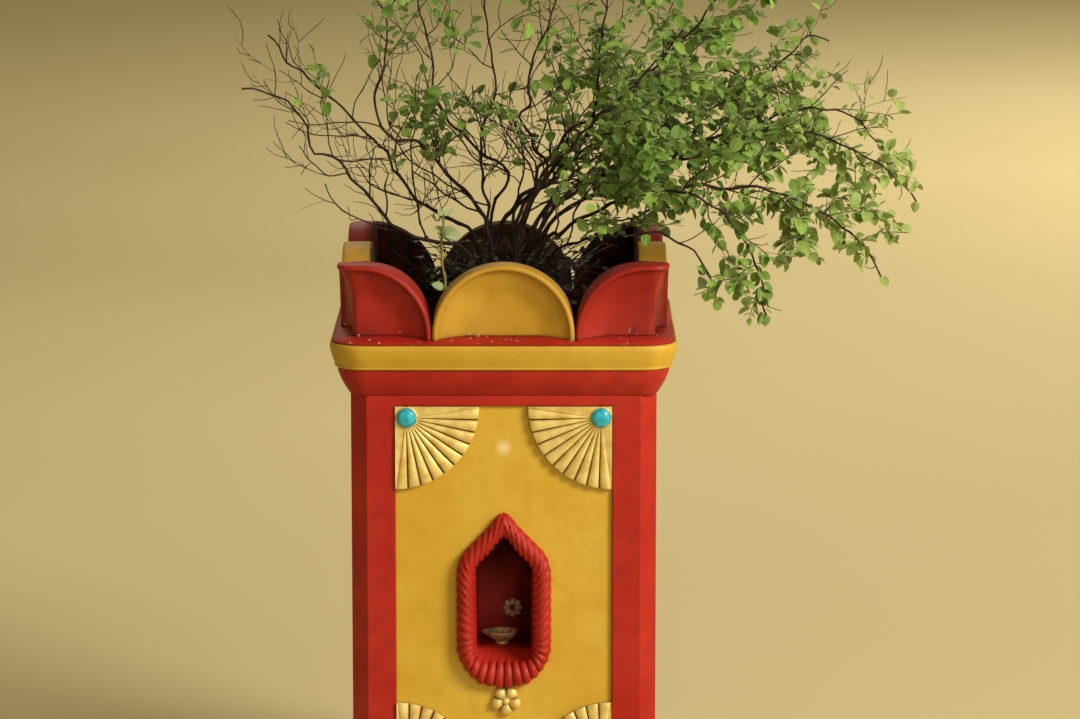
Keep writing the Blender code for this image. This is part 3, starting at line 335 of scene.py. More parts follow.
# %% Brass, plaster and soil
def tarnished_brass():
    """Spun brass, long unpolished: warm metal and dull brown patina in patches."""
    made, tree, shader, place = new_material("tarnished brass")
    patina = add(tree, "ShaderNodeTexNoise", {"Vector": place, "Scale": marks(9), "Detail": 5.0})
    colour = coats(tree, linear("d9c99c"), [(patina, "8a7a54", 0.45, 0.66, 1.0)])
    shine = add(tree, "ShaderNodeMapRange", {0: patina, 1: 0.35, 2: 0.65, 3: 0.30, 4: 0.60})
    relief = add(tree, "ShaderNodeBump", {"Strength": 0.2, "Distance": 0.0004, "Height": patina})
    join(shader, {"Base Color": colour, "Roughness": shine, "Normal": relief, "Metallic": 0.45})
    return made


def chalky_plaster():
    """Lime paint on plaster: dry and powdery, with stains, and painted shade in the grooves and the sunk middle."""
    made, tree, shader, place = new_material("chalky plaster paint")
    stain = add(tree, "ShaderNodeTexNoise", {"Vector": place, "Scale": marks(5), "Detail": 3.0})
    groove = add(tree, "ShaderNodeAttribute", None, "Fac", attribute_name="groove")
    # the dark brown in the grooves is painted shade
    colour = coats(tree, linear("d8b79c"), ((stain, "a07c63", 0.40, 0.70, 1.0), (groove, "4a2c1e")))
    relief = add(tree, "ShaderNodeBump", {"Strength": 0.4, "Distance": 0.0005, "Height": stain})
    join(shader, {"Base Color": colour, "Roughness": 0.7, "Normal": relief})
    return made


def damp_soil():
    """Loose potting soil, watered often: dark crumbs with a dull damp shine."""
    made, tree, shader, place = new_material("damp potting soil")
    crumbs = add(tree, "ShaderNodeTexNoise", {"Vector": place, "Scale": marks(4), "Detail": 6.0})
    damp = add(tree, "ShaderNodeTexNoise", {"Vector": place, "Scale": marks(45), "Detail": 2.0})
    colour = coats(tree, linear("1d120c"), ((crumbs, "54402f", 0.35, 0.70, 1.0), (damp, "140c08", 0.45, 0.70, 0.6)))
    shine = add(tree, "ShaderNodeMapRange", {0: damp, 1: 0.4, 2: 0.7, 3: 0.95, 4: 0.65})
    relief = add(tree, "ShaderNodeBump", {"Strength": 0.8, "Distance": 0.0018, "Height": crumbs})
    join(shader, {"Base Color": colour, "Roughness": shine, "Normal": relief})
    return made


brass = tarnished_brass()
plaster = chalky_plaster()
soil_finish = damp_soil()
print("finishes:", ", ".join(finish.name for finish in (brass, plaster, soil_finish)))


# %% [markdown]
# The straight bodies of the pot are right as they are: the plinth, the pillar with its cut corners and its
# recessed fields, and the four yellow panels. They keep their solids and only take the paint.

# %% Paint the straight bodies
plain_finish = {"plinth": red, "pillar": red, "panel_front": yellow_front, "panel_right": yellow,
                "panel_back": yellow, "panel_left": yellow}
for name, paint in plain_finish.items():
    for slot in frame["nodes"][name].material_slots:
        slot.material = paint
print("painted:", ", ".join(plain_finish))


# %% [markdown]
# The cornice, the yellow band and the sloped ledge above it were run with a template along the four sides, so
# each is one profile carried round a square with rounded corners. A Screw modifier would only turn it in a
# circle, so the rings of points are written out and joined.

# %% Rings and mouldings
PILLAR_HALF = 0.192
CORNER_CUT = 0.020
BASIN_HALF = 0.160
BASIN_CUT = 0.012
PETAL_OUTER = 0.2075
PETAL_INNER = 0.1695
LEDGE_AT_PETAL = 0.6915
CORNER_STEPS = 9
SIDE_STEPS = 10


def square(half, height, cut):
    """A level square ring with round corners, with points along its straight sides too."""
    near = half - cut
    ring = []
    for quarter in range(4):
        for step in range(CORNER_STEPS + 1):
            turn = math.pi / 2 * step / CORNER_STEPS
            ring.append(turned((near + cut * math.cos(turn), near + cut * math.sin(turn), height), quarter))
        for step in range(1, SIDE_STEPS):
            ring.append(turned((near - 2 * near * step / SIDE_STEPS, half, height), quarter))
    return ring


def ring_faces(rows, count, closed_rows=False):
    """Faces between rings of points; closed_rows joins the last ring to the first."""
    faces = []
    for row in range(rows if closed_rows else rows - 1):
        above = (row + 1) % rows
        for index in range(count):
            after = (index + 1) % count
            faces.append((row * count + index, row * count + after, above * count + after, above * count + index))
    return faces


def closed(rows, count, tip=False):
    """Faces of stacked rings: flat at the first, and at the last either flat or drawn to the point after them."""
    first = tuple(range(count))
    last = tuple((rows - 1) * count + index for index in range(count))
    if tip:
        drawn = [(last[index], last[(index + 1) % count], rows * count) for index in range(count)]
        return ring_faces(rows, count) + drawn + [first]
    return ring_faces(rows, count) + [first, last]


def moulding(node, profile, paint):
    """A profile carried round the rim; its points are (distance from the axis, height, dirt and painted shade,
    wear).
    """
    bottom, top = profile[0][1], profile[-1][1]
    rings = [square(half, height, half - PILLAR_HALF + CORNER_CUT) for half, height, _, _ in profile]
    rings += [square(BASIN_HALF, top, BASIN_CUT), square(BASIN_HALF, bottom, BASIN_CUT)]
    count = len(rings[0])
    # the last two rings, the basin's inner wall, are fully darkened: soil and painted shade
    dirt_and_shade = [point[2] for point in profile] + [1.0, 1.0]
    rubbed = [point[3] for point in profile] + [0.0, 0.0]
    made = make_piece(node + "_painted", [point for ring in rings for point in ring],
                      ring_faces(len(rings), count, True), paint, 50,
                      grime=[value for value in dirt_and_shade for _ in range(count)],
                      worn=[value for value in rubbed for _ in range(count)])
    return stand_for(made, node)


print("points in a ring:", len(square(PILLAR_HALF, 0.0, CORNER_CUT)))


# %% [markdown]
# The cornice swells like a cushion: its profile is a slope mixed with a quarter of a wave. Its lower edge,
# which turns to face down, is painted darker as painted shade.

# %% Cornice
CORNICE_STEPS = 14
cornice_low, cornice_high = (corner.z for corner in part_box("cornice"))
cornice_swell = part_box("cornice")[1].x - PILLAR_HALF
cornice_profile = []
for share in (step / CORNICE_STEPS for step in range(CORNICE_STEPS + 1)):
    bulge = 0.25 * share + 0.75 * math.sin(share * math.pi / 2)
    height = cornice_low + (cornice_high - cornice_low) * share
    # painted shade, darkest at the lower edge
    cornice_profile.append((PILLAR_HALF + cornice_swell * bulge, height, 0.18 * (1 - share) ** 2, 0.0))
moulding("cornice", cornice_profile, red)
print("the cornice swells", round(cornice_swell * 1000, 1), "mm over the pillar")


# %% [markdown]
# The band is fat, with a thin lip below that catches the light, and painted shade under that lip and in the
# crease at its top. The ledge slopes up from it to the basin. It is worn where the petals stand, darker in the
# crease along the band as painted shade, and black inside with soil and painted shade.

# %% Band and ledge
band_low, band_high = (corner.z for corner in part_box("rim_band"))
# distance from the axis, height over the band's foot, darkening: painted shade under the lip and at the top
band_shape = ((0.2085, 0.0, 0.3), (0.2106, 0.0002, 0.1), (0.2119, 0.0011, 0.0), (0.2122, 0.0024, 0.0),
              (0.2114, 0.0038, 0.1), (0.2121, 0.0055, 0.0), (0.2140, 0.0098, 0.0), (0.2159, 0.0155, 0.0),
              (0.2172, 0.0205, 0.0), (0.2179, 0.0250, 0.0), (0.2180, 0.0276, 0.0), (0.2174, 0.0297, 0.0),
              (0.2162, 0.0310, 0.05), (0.2150, band_high - band_low, 0.5))
moulding("rim_band", [(half, band_low + up, dirt_and_shade, 0.0) for half, up, dirt_and_shade in band_shape], yellow)

ledge_low, ledge_high = (corner.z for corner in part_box("rim_ledge"))


def ledge_height(depth):
    """Height of the ledge's slope at a distance from the axis."""
    share = clamp((PETAL_OUTER - depth) / (PETAL_OUTER - PETAL_INNER))
    return LEDGE_AT_PETAL + (ledge_high - LEDGE_AT_PETAL) * share


# the third number darkens the ledge: painted shade in the crease along the band and behind the petals, dirt where
# they stand, soil and painted shade inside the basin
moulding("rim_ledge", [
    (0.2153, ledge_low, 0.7, 0.0), (0.2149, ledge_low + 0.0006, 0.45, 0.1), (0.2140, ledge_low + 0.0012, 0.10, 0.2),
    (0.2105, ledge_low + 0.0030, 0.05, 0.6), (PETAL_OUTER, LEDGE_AT_PETAL, 0.12, 1.0),
    (0.1985, ledge_height(0.1985), 0.15, 0.6), (0.1900, ledge_height(0.1900), 0.50, 0.6),
    (0.1703, ledge_height(0.1703), 0.9, 0.0), (PETAL_INNER, ledge_high, 1.0, 0.0)], red)


# %% [markdown]
# Eight half-round lotus petals stand on the ledge. A petal is an arc repeated from its inner face, over its
# thick edge, round a raised bead and down into a shallow dish. The dish brings its foot further in on the
# sloping ledge, which is why the red strip under the front petal rises in the middle. The inner faces have
# never been repainted and are almost black with soil, algae and painted shade. The back petals are darkened
# all over in the same way, and painted shade lies in the dish under the bead and at the foot.

# %% Petals at the middle of the sides
PETAL_RADIUS = 0.0888
PETAL_STILT = 0.0061
PETAL_GAP = 0.0003
WORN_FOOT = 0.012
FLAKES_FROM = 0.1890
# how far out the sides of the back corner petals stay as light as the front ones, without their dirt and painted
# shade
UNDARKENED_FLANK = 0.175
# inset from the edge, distance from the axis, darkening: dirt and painted shade on the inner face, painted shade in
# the dish under the bead
PETAL_PROFILE = (
    (0.0016, 0.1695, 1.0), (0.0003, 0.1702, 1.0), (0.0, 0.1716, 0.80), (0.0, 0.1740, 0.24), (0.0, 0.1880, 0.14),
    (0.0, 0.1980, 0.12), (0.0, 0.2042, 0.12), (0.0006, 0.2060, 0.10), (0.0020, 0.2072, 0.05), (0.0038, 0.2075, 0.0),
    (0.0054, 0.2070, 0.0), (0.0065, 0.2055, 0.05), (0.0072, 0.2035, 0.22), (0.0088, 0.2020, 0.18),
    (0.0125, 0.2003, 0.05), (0.0190, 0.1977, 0.0), (0.0270, 0.1945, 0.0), (0.0345, 0.1917, 0.0),
    (0.0420, 0.1900, 0.0), (0.0520, 0.1895, 0.0), (0.0700, 0.1894, 0.0),
)


def petal_level(height, top, depth):
    """Height of a petal's point: its foot follows the ledge and its top stays level."""
    foot = ledge_height(depth) + PETAL_GAP
    outer_foot = LEDGE_AT_PETAL + PETAL_GAP
    return foot + height * (top - (foot - outer_foot)) / top


def arc_dirt_shade_and_wear(weathering_and_shade, depth, height, darkened_back):
    """Darkening and wear of a petal's point: dirt and painted shade, with painted shade at the foot; petals at the
    back are darkened all over and chip less.
    """
    low = max(0.0, 1.0 - height / WORN_FOOT)
    # painted shade in the crease at the petal's foot
    grime = max(weathering_and_shade, 0.35 * low ** 2)
    # the back petals are darkened all over: dirt and painted shade
    if darkened_back:
        return max(grime, 0.95 if weathering_and_shade > 0.04 else 0.3), 0.0
    return grime, low * (depth > FLAKES_FROM)


def strips(rows, count):
    """The faces between neighbouring open arcs."""
    faces = []
    for row in range(rows - 1):
        for index in range(count - 1):
            base = row * count + index
            faces.append((base, base + 1, base + count + 1, base + count))
    return faces


def middle_petal(quarter, name, steps=56):
    """A yellow petal; quarter 0 is the front one and 2 the back one."""
    top = PETAL_STILT + PETAL_RADIUS
    outline = [(PETAL_RADIUS, 0.0)]
    for step in range(steps + 1):
        turn = math.pi * step / steps
        outline.append((PETAL_RADIUS * math.cos(turn), PETAL_STILT + PETAL_RADIUS * math.sin(turn)))
    outline.append((-PETAL_RADIUS, 0.0))
    points = []
    weathering_and_shade = []
    for inset, depth, dirt_and_shade in PETAL_PROFILE:
        for along, height in outline:
            level = petal_level(height * (1 - inset / top), top, depth)
            points.append(turned((along * (1 - inset / PETAL_RADIUS), -depth, level), quarter))
            weathering_and_shade.append(arc_dirt_shade_and_wear(dirt_and_shade, depth, height, quarter == 2))
    count = len(outline)
    rows = len(PETAL_PROFILE)
    ends = [row * count for row in range(rows)]
    faces = strips(rows, count)
    faces += [tuple(range(count)), tuple(range(ends[-1], ends[-1] + count))]
    faces.append(tuple(ends + [end + count - 1 for end in reversed(ends)]))
    grime, worn = zip(*weathering_and_shade)
    made = make_piece(name + "_painted", points, faces, yellow_petal_shaded, 35, grime=grime, worn=worn)
    return stand_for(made, name)


for quarter, name in enumerate(("petal_front", "petal_right", "petal_back", "petal_left")):
    petal = middle_petal(quarter, name)
print("a middle petal has", len(petal.data.polygons), "faces")


# %% [markdown]
# A corner petal is the same arc in two quarters that meet in a fold. The solid has a flat cut there, but the
# real one is eased by hand, so here the fold swells into a round. Its points are given by how far they lie
# along the side from the middle of the corner, and a short function turns that into a place.

# %% Places round a corner
CORNER_PETAL_RADIUS = 0.090
CORNER_PETAL_CENTRE = 0.180
CORNER_PETAL_STILT = 0.0045
CORNER_PETAL_WING = CORNER_PETAL_RADIUS + PETAL_OUTER - CORNER_CUT - CORNER_PETAL_CENTRE
FOLD = CORNER_CUT / math.sqrt(2)
FOLD_STEPS = 8
FOLD_SWELL = 0.29
NARROWEST_FOLD = 0.0005


def corner_place(along, level, depth):
    """A point of the front right corner; along runs round the corner, from its middle."""
    mitre = math.tan(math.pi / 8)
    inset = PETAL_OUTER - depth
    bend = PETAL_OUTER - CORNER_CUT
    wing = abs(along) - FOLD
    if wing <= 0:
        share = along / FOLD
        swell = FOLD_SWELL * (CORNER_CUT - inset / 2) * (1 - share ** 2)
        middle = bend + CORNER_CUT / 2 + (swell - inset) / math.sqrt(2)
        aside = share * max(FOLD - inset * mitre, NARROWEST_FOLD) / math.sqrt(2)
        return (middle + aside, aside - middle, level)
    reach = inset * mitre + wing * (1 - inset * mitre / CORNER_PETAL_WING)
    if along > 0:
        return (PETAL_OUTER - inset, -bend + reach, level)
    return (bend - reach, -PETAL_OUTER + inset, level)


print("the fold is", round(FOLD * 2000, 1), "mm wide")


# %% [markdown]
# The petal's arc and its fold make one outline. Every section of the petal repeats it, smaller or further in,
# and the foot gets a line of its own, so that no face there has to cross the fold.

# %% Petals at the corners
def corner_petal(quarter, name, steps=28):
    """A red petal; quarter 0 is the one at the front right."""
    top = CORNER_PETAL_STILT + CORNER_PETAL_RADIUS
    lead = FOLD + CORNER_PETAL_WING - CORNER_PETAL_RADIUS
    arc = [(FOLD + CORNER_PETAL_WING, 0.0)]
    for step in range(steps + 1):
        turn = math.pi / 2 * step / steps
        arc.append((lead + CORNER_PETAL_RADIUS * math.cos(turn),
                    CORNER_PETAL_STILT + CORNER_PETAL_RADIUS * math.sin(turn)))
    folds = [FOLD * (1 - 2 * step / FOLD_STEPS) for step in range(FOLD_STEPS + 1)]
    outline = arc + [(along, top) for along in folds] + [(-along, height) for along, height in reversed(arc)]

    def place(along, height, inset, depth):
        wide = max(abs(along) - FOLD, 0.0) * (1 - inset / CORNER_PETAL_WING)
        drawn = math.copysign(min(abs(along), FOLD) + wide, along)
        return turned(corner_place(drawn, petal_level(height * (1 - inset / top), top, depth), depth), quarter)

    points = []
    weathering_and_shade = []
    foot_line = [(along, 0.0) for along in (lead, *folds, -lead)]
    sections = [(section, outline) for section in PETAL_PROFILE]
    sections += [(PETAL_PROFILE[0], foot_line), (PETAL_PROFILE[-1], foot_line)]
    for (inset, depth, dirt_and_shade), line in sections:
        for along, height in line:
            point = place(along, height, inset, depth)
            points.append(point)
            weathering_and_shade.append(arc_dirt_shade_and_wear(dirt_and_shade, depth, height, quarter in (1, 2) and abs(point[0]) < UNDARKENED_FLANK))
    count = len(outline)
    rows = len(PETAL_PROFILE)
    side = len(arc)
    columns = FOLD_STEPS + 2
    inner, outer = rows * count, rows * count + columns + 1
    faces = strips(rows, count)
    for start, foot in ((0, inner), ((rows - 1) * count, outer)):
        faces.append((foot,) + tuple(range(start, start + side)))
        for step in range(columns):
            crown = start + side - 1 + step
            faces.append((foot + step, crown, crown + 1, foot + step + 1))
        faces.append(tuple(range(start + side - 1 + columns, start + count)) + (foot + columns,))
    ends = tuple(row * count for row in range(rows))
    faces.append((inner,) + ends + (outer,))
    faces += [(inner + step, outer + step, outer + step + 1, inner + step + 1) for step in range(columns)]
    faces.append((outer + columns,) + tuple(end + count - 1 for end in reversed(ends)) + (inner + columns,))
    grime, worn = zip(*weathering_and_shade)
    made = make_piece(name + "_painted", points, faces, red_petal_shaded, 35, grime=grime, worn=worn)
    return stand_for(made, name)


for quarter, name in enumerate(("petal_front_right", "petal_back_right", "petal_back_left", "petal_front_left")):
    petal = corner_petal(quarter, name)
print("a corner petal has", len(petal.data.polygons), "faces")


# %% [markdown]
# A ribbed quarter fan fills each corner of the front panel. Its ribs are flat strips with narrow grooves
# between them, all spread from the bead's seat. One cross-section of a rib, repeated ten times round the
# quarter turn, gives the whole fan, and the groove's points carry a value that the gold paint shows as painted
# shade.

# %% Fans
PANEL_FACE = 0.1875
FAN_RADIUS = 0.105
FAN_HUB = 0.014
FAN_RIBS = 10
FAN_BASE = 0.0036
FAN_PLATE = 0.0078
BEAD_RADIUS = 0.0125
# share of the rib's width, height over the panel, painted shade
RIB_SECTION = ((0.0, FAN_BASE, 1.0), (0.05, 0.0042, 0.9), (0.12, 0.0066, 0.12), (0.25, 0.0076, 0.0),
               (0.55, 0.0084, 0.0), (0.86, 0.0080, 0.0), (0.95, 0.0068, 0.12))
# share of the way from the bead to the outer edge, share of the height
RIB_ROWS = ((0.0, 0.86), (0.2, 0.95), (0.5, 1.0), (0.85, 1.0), (0.965, 0.99), (1.0, 0.86))


def on_panel(corner, right, up):
    """Turns (across, along, out) on the front panel into a place, from a corner and the signs of its axes."""
    def place(u, v, out):
        return (corner[0] + right * u, -PANEL_FACE - PETAL_GAP - out, corner[1] + up * v)
    return place


def fan(name, place):
    """A quarter fan of ribs with its flat back and its two straight sides."""
    columns = [((rib + share) / FAN_RIBS, out, dark) for rib in range(FAN_RIBS) for share, out, dark in RIB_SECTION]
    columns[0] = (0.0, FAN_PLATE, 0.0)
    columns[1] = (0.05 / FAN_RIBS, FAN_PLATE, 0.0)
    columns.append((1.0, FAN_PLATE, 0.0))
    hub = Vector((FAN_HUB, FAN_HUB))
    points = []
    groove = []
    for share, lift in RIB_ROWS:
        for turn, out, dark in columns:
            edge = Vector((math.cos(turn * math.pi / 2), math.sin(turn * math.pi / 2))) * FAN_RADIUS
            near = hub + (edge - hub).normalized() * BEAD_RADIUS * 1.02
            if turn == 0.0:
                near = Vector((FAN_HUB + BEAD_RADIUS, 0.0))
            if turn == 1.0:
                near = Vector((0.0, FAN_HUB + BEAD_RADIUS))
            spot = near.lerp(edge, share)
            points.append(place(spot.x, spot.y, out * lift))
            groove.append(dark)
    count = len(columns)
    # painted shade along the foot of the fan's outer edge
    for turn, _, _ in columns:
        edge = Vector((math.cos(turn * math.pi / 2), math.sin(turn * math.pi / 2))) * FAN_RADIUS
        points.append(place(edge.x, edge.y, 0.0))
        groove.append(0.6)
    points += [place(0.0, 0.0, 0.0), place(0.0, 0.0, FAN_PLATE * RIB_ROWS[0][1])]
    groove += [0.0, 0.0]
    low, high = len(points) - 2, len(points) - 1
    rows = len(RIB_ROWS)
    rim = rows * count
    faces = strips(rows + 1, count)
    faces.append((low,) + tuple(range(rim, rim + count)))
    faces.append((high,) + tuple(range(count)))
    faces.append((low, high) + tuple(row * count for row in range(rows + 1)))
    faces.append((low, high) + tuple(row * count + count - 1 for row in range(rows + 1)))
    return make_piece(name + "_gilded", points, faces, gold, 50, groove=groove)


# %% [markdown]
# Each bead is a turned dome with a thin gold ring round its foot, one closed shape with two finishes.

# %% Beads
BEAD_COLUMNS = 36
BEAD_HEIGHT = 0.0087
RING_ROWS = 6
# share of the radius, height over the seat
BEAD_PROFILE = ((1.15, -0.003), (1.15, 0.0010), (1.11, 0.0020), (1.05, 0.0022), (1.0, 0.0014), (0.985, 0.0004),
                (0.975, 0.0020), (0.94, 0.0038), (0.85, 0.0056), (0.70, 0.0070), (0.50, 0.0080), (0.25, 0.0086))


def bead(name, place, seat):
    """A bead in the corner of its fan; the two flat sides of the corner cut its ring."""
    points = []
    for radius, out in BEAD_PROFILE:
        for column in range(BEAD_COLUMNS):
            turn = math.tau * column / BEAD_COLUMNS
            across, along = BEAD_RADIUS * radius * math.cos(turn), BEAD_RADIUS * radius * math.sin(turn)
            points.append(place(max(FAN_HUB + across, 0.0), max(FAN_HUB + along, 0.0), seat + out))
    points.append(place(FAN_HUB, FAN_HUB, seat + BEAD_HEIGHT))
    made = make_piece(name + "_enamelled", points, closed(len(BEAD_PROFILE), BEAD_COLUMNS, True), enamel, 60)
    made.data.materials.append(gold)
    for face in made.data.polygons:
        if max(face.vertices) < RING_ROWS * BEAD_COLUMNS:
            face.material_index = 1
    return made


panel_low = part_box("fan_low_left")[0].z
panel_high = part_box("fan_top_left")[1].z
panel_edge = -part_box("fan_top_left")[0].x
bead_seat = -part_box("bead_top_left")[1].y - PANEL_FACE - PETAL_GAP
for label, side, above in (("top_left", -1, 1), ("top_right", 1, 1), ("low_left", -1, -1), ("low_right", 1, -1)):
    place = on_panel((side * panel_edge, panel_high if above > 0 else panel_low), -side, -above)
    stand_for(fan("fan_" + label, place), "fan_" + label)
    stand_for(bead("bead_" + label, place, bead_seat), "bead_" + label)
print("fans of", FAN_RIBS, "ribs, radius", FAN_RADIUS)


# %% [markdown]
# The flower under the niche and the rosette inside it are lobed reliefs. Both come from one function: the
# radius of each ring of points swells and shrinks as many times as there are petals, and the height falls in
# the grooves between them. The grooves, the foot and the middle are painted darker, as painted shade.

# %% Flower and rosette
LOBE_COLUMNS = 12


def lobed(name, place, radius, lobes, notch, levels, material):
    """A round relief with lobes; levels give (share of the radius, height in a groove, height on a lobe,
    painted shade); the grooves between the lobes take painted shade as well."""
    count = LOBE_COLUMNS * lobes
    points = []
    groove = []
    for share, low, high, dark in levels:
        for column in range(count):
            turn = math.tau * column / count
            wave = abs(math.cos(turn * lobes / 2)) ** 0.55
            reach = radius * share * (1 - notch * share * (1 - wave))
            points.append(place(reach * math.sin(turn), reach * math.cos(turn), low + (high - low) * wave))
            # painted shade in the grooves between the lobes
            groove.append(max(dark, (1 - wave) ** 2 * 0.9 * (share > 0.3)))
    points.append(place(0.0, 0.0, levels[-1][2]))
    groove.append(levels[-1][3])
    return make_piece(name, points, closed(len(levels), count, True), material, 60, groove=groove)


flower_low, flower_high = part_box("gold_flower")
flower_radius = (flower_high.x - flower_low.x) / 2 / math.sin(math.radians(72))
# the fourth number of each level is painted shade, at the foot and round the middle
FLOWER_LEVELS = ((0.94, 0.0, 0.0, 0.4), (1.0, 0.0012, 0.0022, 0.1), (0.99, 0.0020, 0.0044, 0.0),
                 (0.92, 0.0024, 0.0062, 0.0), (0.80, 0.0027, 0.0077, 0.0), (0.66, 0.0030, 0.0085, 0.0),
                 (0.50, 0.0033, 0.0081, 0.0), (0.36, 0.0038, 0.0066, 0.15), (0.25, 0.0050, 0.0054, 0.4),
                 (0.21, 0.0064, 0.0066, 0.1), (0.15, 0.0078, 0.0078, 0.0), (0.08, 0.0084, 0.0084, 0.0))
flower_seat = ((flower_low.x + flower_high.x) / 2, flower_low.z + flower_radius)
stand_for(lobed("gold_flower_gilded", on_panel(flower_seat, 1, -1), flower_radius, 5, 0.30, FLOWER_LEVELS, gold),
          "gold_flower")

rosette_low, rosette_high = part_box("niche_rosette")


def on_niche_back(u, v, out):
    """A place on the back wall of the niche, from the rosette's middle."""
    middle = (rosette_low + rosette_high) / 2
    return (middle.x + u, rosette_high.y - out, middle.z + v)


# the fourth number of each level is painted shade, darkest in the sunk middle
ROSETTE_LEVELS = ((0.95, 0.0, 0.0, 0.3), (1.0, 0.0012, 0.0014, 0.0), (0.97, 0.0017, 0.0025, 0.0),
                  (0.80, 0.0021, 0.0036, 0.0), (0.60, 0.0026, 0.0042, 0.0), (0.42, 0.0026, 0.0036, 0.0),
                  (0.26, 0.0020, 0.0020, 0.8), (0.15, 0.0018, 0.0018, 1.0))
stand_for(lobed("niche_rosette_plaster", on_niche_back, 0.0127, 8, 0.22, ROSETTE_LEVELS, plaster), "niche_rosette")
print("flower radius", round(flower_radius, 4), "with 5 petals; rosette with 8 scallops")


# %% [markdown]
# The lamp niche has a fat twisted rope round its mouth. Its outline is sampled finely from the tip of the
# arch down both sides to the sill, with its corners eased as by hand.

# %% Outline of the niche
NICHE_OUTER = (
    (0.0, 0.4704), (0.008, 0.4660), (0.018, 0.4526), (0.037, 0.4329), (0.050, 0.4196), (0.0555, 0.4094),
    (0.0590, 0.3940), (0.0590, 0.2937), (0.0546, 0.2781), (0.0446, 0.2627), (0.0300, 0.2498), (0.0, 0.2443),
)
NICHE_MOUTH = (
    (0.0, 0.4410), (0.008, 0.4320), (0.018, 0.4185), (0.028, 0.4095), (0.0345, 0.4020), (0.0370, 0.3940),
    (0.0370, 0.2950), (0.0355, 0.2865), (0.0310, 0.2815), (0.0240, 0.2780), (0.0, 0.2780),
)
ROPE_STRANDS = 44
ROPE_POINTS = ROPE_STRANDS * 8


def whole_outline(half, count, rounds=5):
    """A closed outline of equally spaced points from its right half, with its corners eased."""
    corners = [Vector(point) for point in half]
    corners += [Vector((-x, z)) for x, z in reversed(half[1:-1])]
    corners.append(corners[0])
    lengths = [(b - a).length for a, b in zip(corners, corners[1:])]
    stride = sum(lengths) / count
    points = []
    for index in range(count):
        left = index * stride
        leg = 0
        while left > lengths[leg] + 1e-9:
            left -= lengths[leg]
            leg += 1
        points.append(corners[leg].lerp(corners[leg + 1], left / lengths[leg]))
    for _ in range(rounds):
        eased = [(points[index - 1] + points[index] * 2 + points[(index + 1) % count]) / 4 for index in range(count)]
        points = points[:2] + eased[2:-1] + points[-1:]
    return points


def grown(outline, amount):
    """The outline moved outward by an amount."""
    moved = []
    for index, point in enumerate(outline):
        along = (outline[(index + 1) % len(outline)] - outline[index - 1]).normalized()
        moved.append(point + Vector((-along.y, along.x)) * amount)
    return moved


print("points round the niche:", len(whole_outline(NICHE_OUTER, ROPE_POINTS)))


# %% [markdown]
# Round the rope's own middle line the roll swells on each strand and shrinks in each groove, and the grooves
# are darkened as painted shade. The grooves run slantwise, so the strands lean alike on both sides and fan out
# straight under the sill. The little room behind is darkened at the top and towards the right as painted shade.

# %% Niche with its rope
NICHE_FLOOR = 0.287
NICHE_BACK = 0.0875
NICHE_SILL_DEPTH = 0.160
ROPE_MIDDLE = 0.1915
ROPE_TWIST = 1.9
# share of the way down from the tip where the slant starts to ease, and over how much of it
SILL_FROM = 0.80
SILL_EASE = 0.12
# the room narrows from the mouth to the back, and its vault falls a little
ROOM_MIDDLE = 0.95
ROOM_BACK = 0.92
VAULT_FOOT = 0.30
VAULT_FALL = 0.03
BACK_CENTRE = Vector((0.0, 0.345))
NICHE_WALL = 0.005
NICHE_BACK_WALL = 0.0045
# painted shade thickens upward from a height and to the right from a line, over so much
SHADE_HEIGHT = 0.335
SHADE_RISE = 0.070
SHADE_SIDE = -0.005
SHADE_WIDTH = 0.030
# share from the outer edge to the mouth, distance from the axis
ROPE_PROFILE = (
    (0.0, 0.1879), (-0.02, 0.1905), (0.0, 0.1940), (0.05, 0.1974), (0.14, 0.2004), (0.26, 0.2026), (0.40, 0.2038),
    (0.54, 0.2038), (0.68, 0.2024), (0.82, 0.2000), (0.93, 0.1972), (0.99, 0.1945), (1.0, 0.1915),
)


def strand(index, share):
    """From 0 in a groove of the rope to 1 on a strand, alike on both sides."""
    from_tip = min(index, ROPE_POINTS - index) / ROPE_POINTS * 2
    slant = ROPE_TWIST * clamp((SILL_FROM - from_tip) / SILL_EASE)
    phase = from_tip * ROPE_STRANDS / 2 - slant * share
    return abs(math.sin(math.pi * phase)) ** 0.6


def niche_shade(point):
    """Painted shade on the inner walls: thick at the top, less on the side that the lamp stands at."""
    rise = clamp((point.y - SHADE_HEIGHT) / SHADE_RISE)
    aside = clamp((point.x - SHADE_SIDE) / SHADE_WIDTH)
    return max(0.95 * rise, 0.75 * aside)


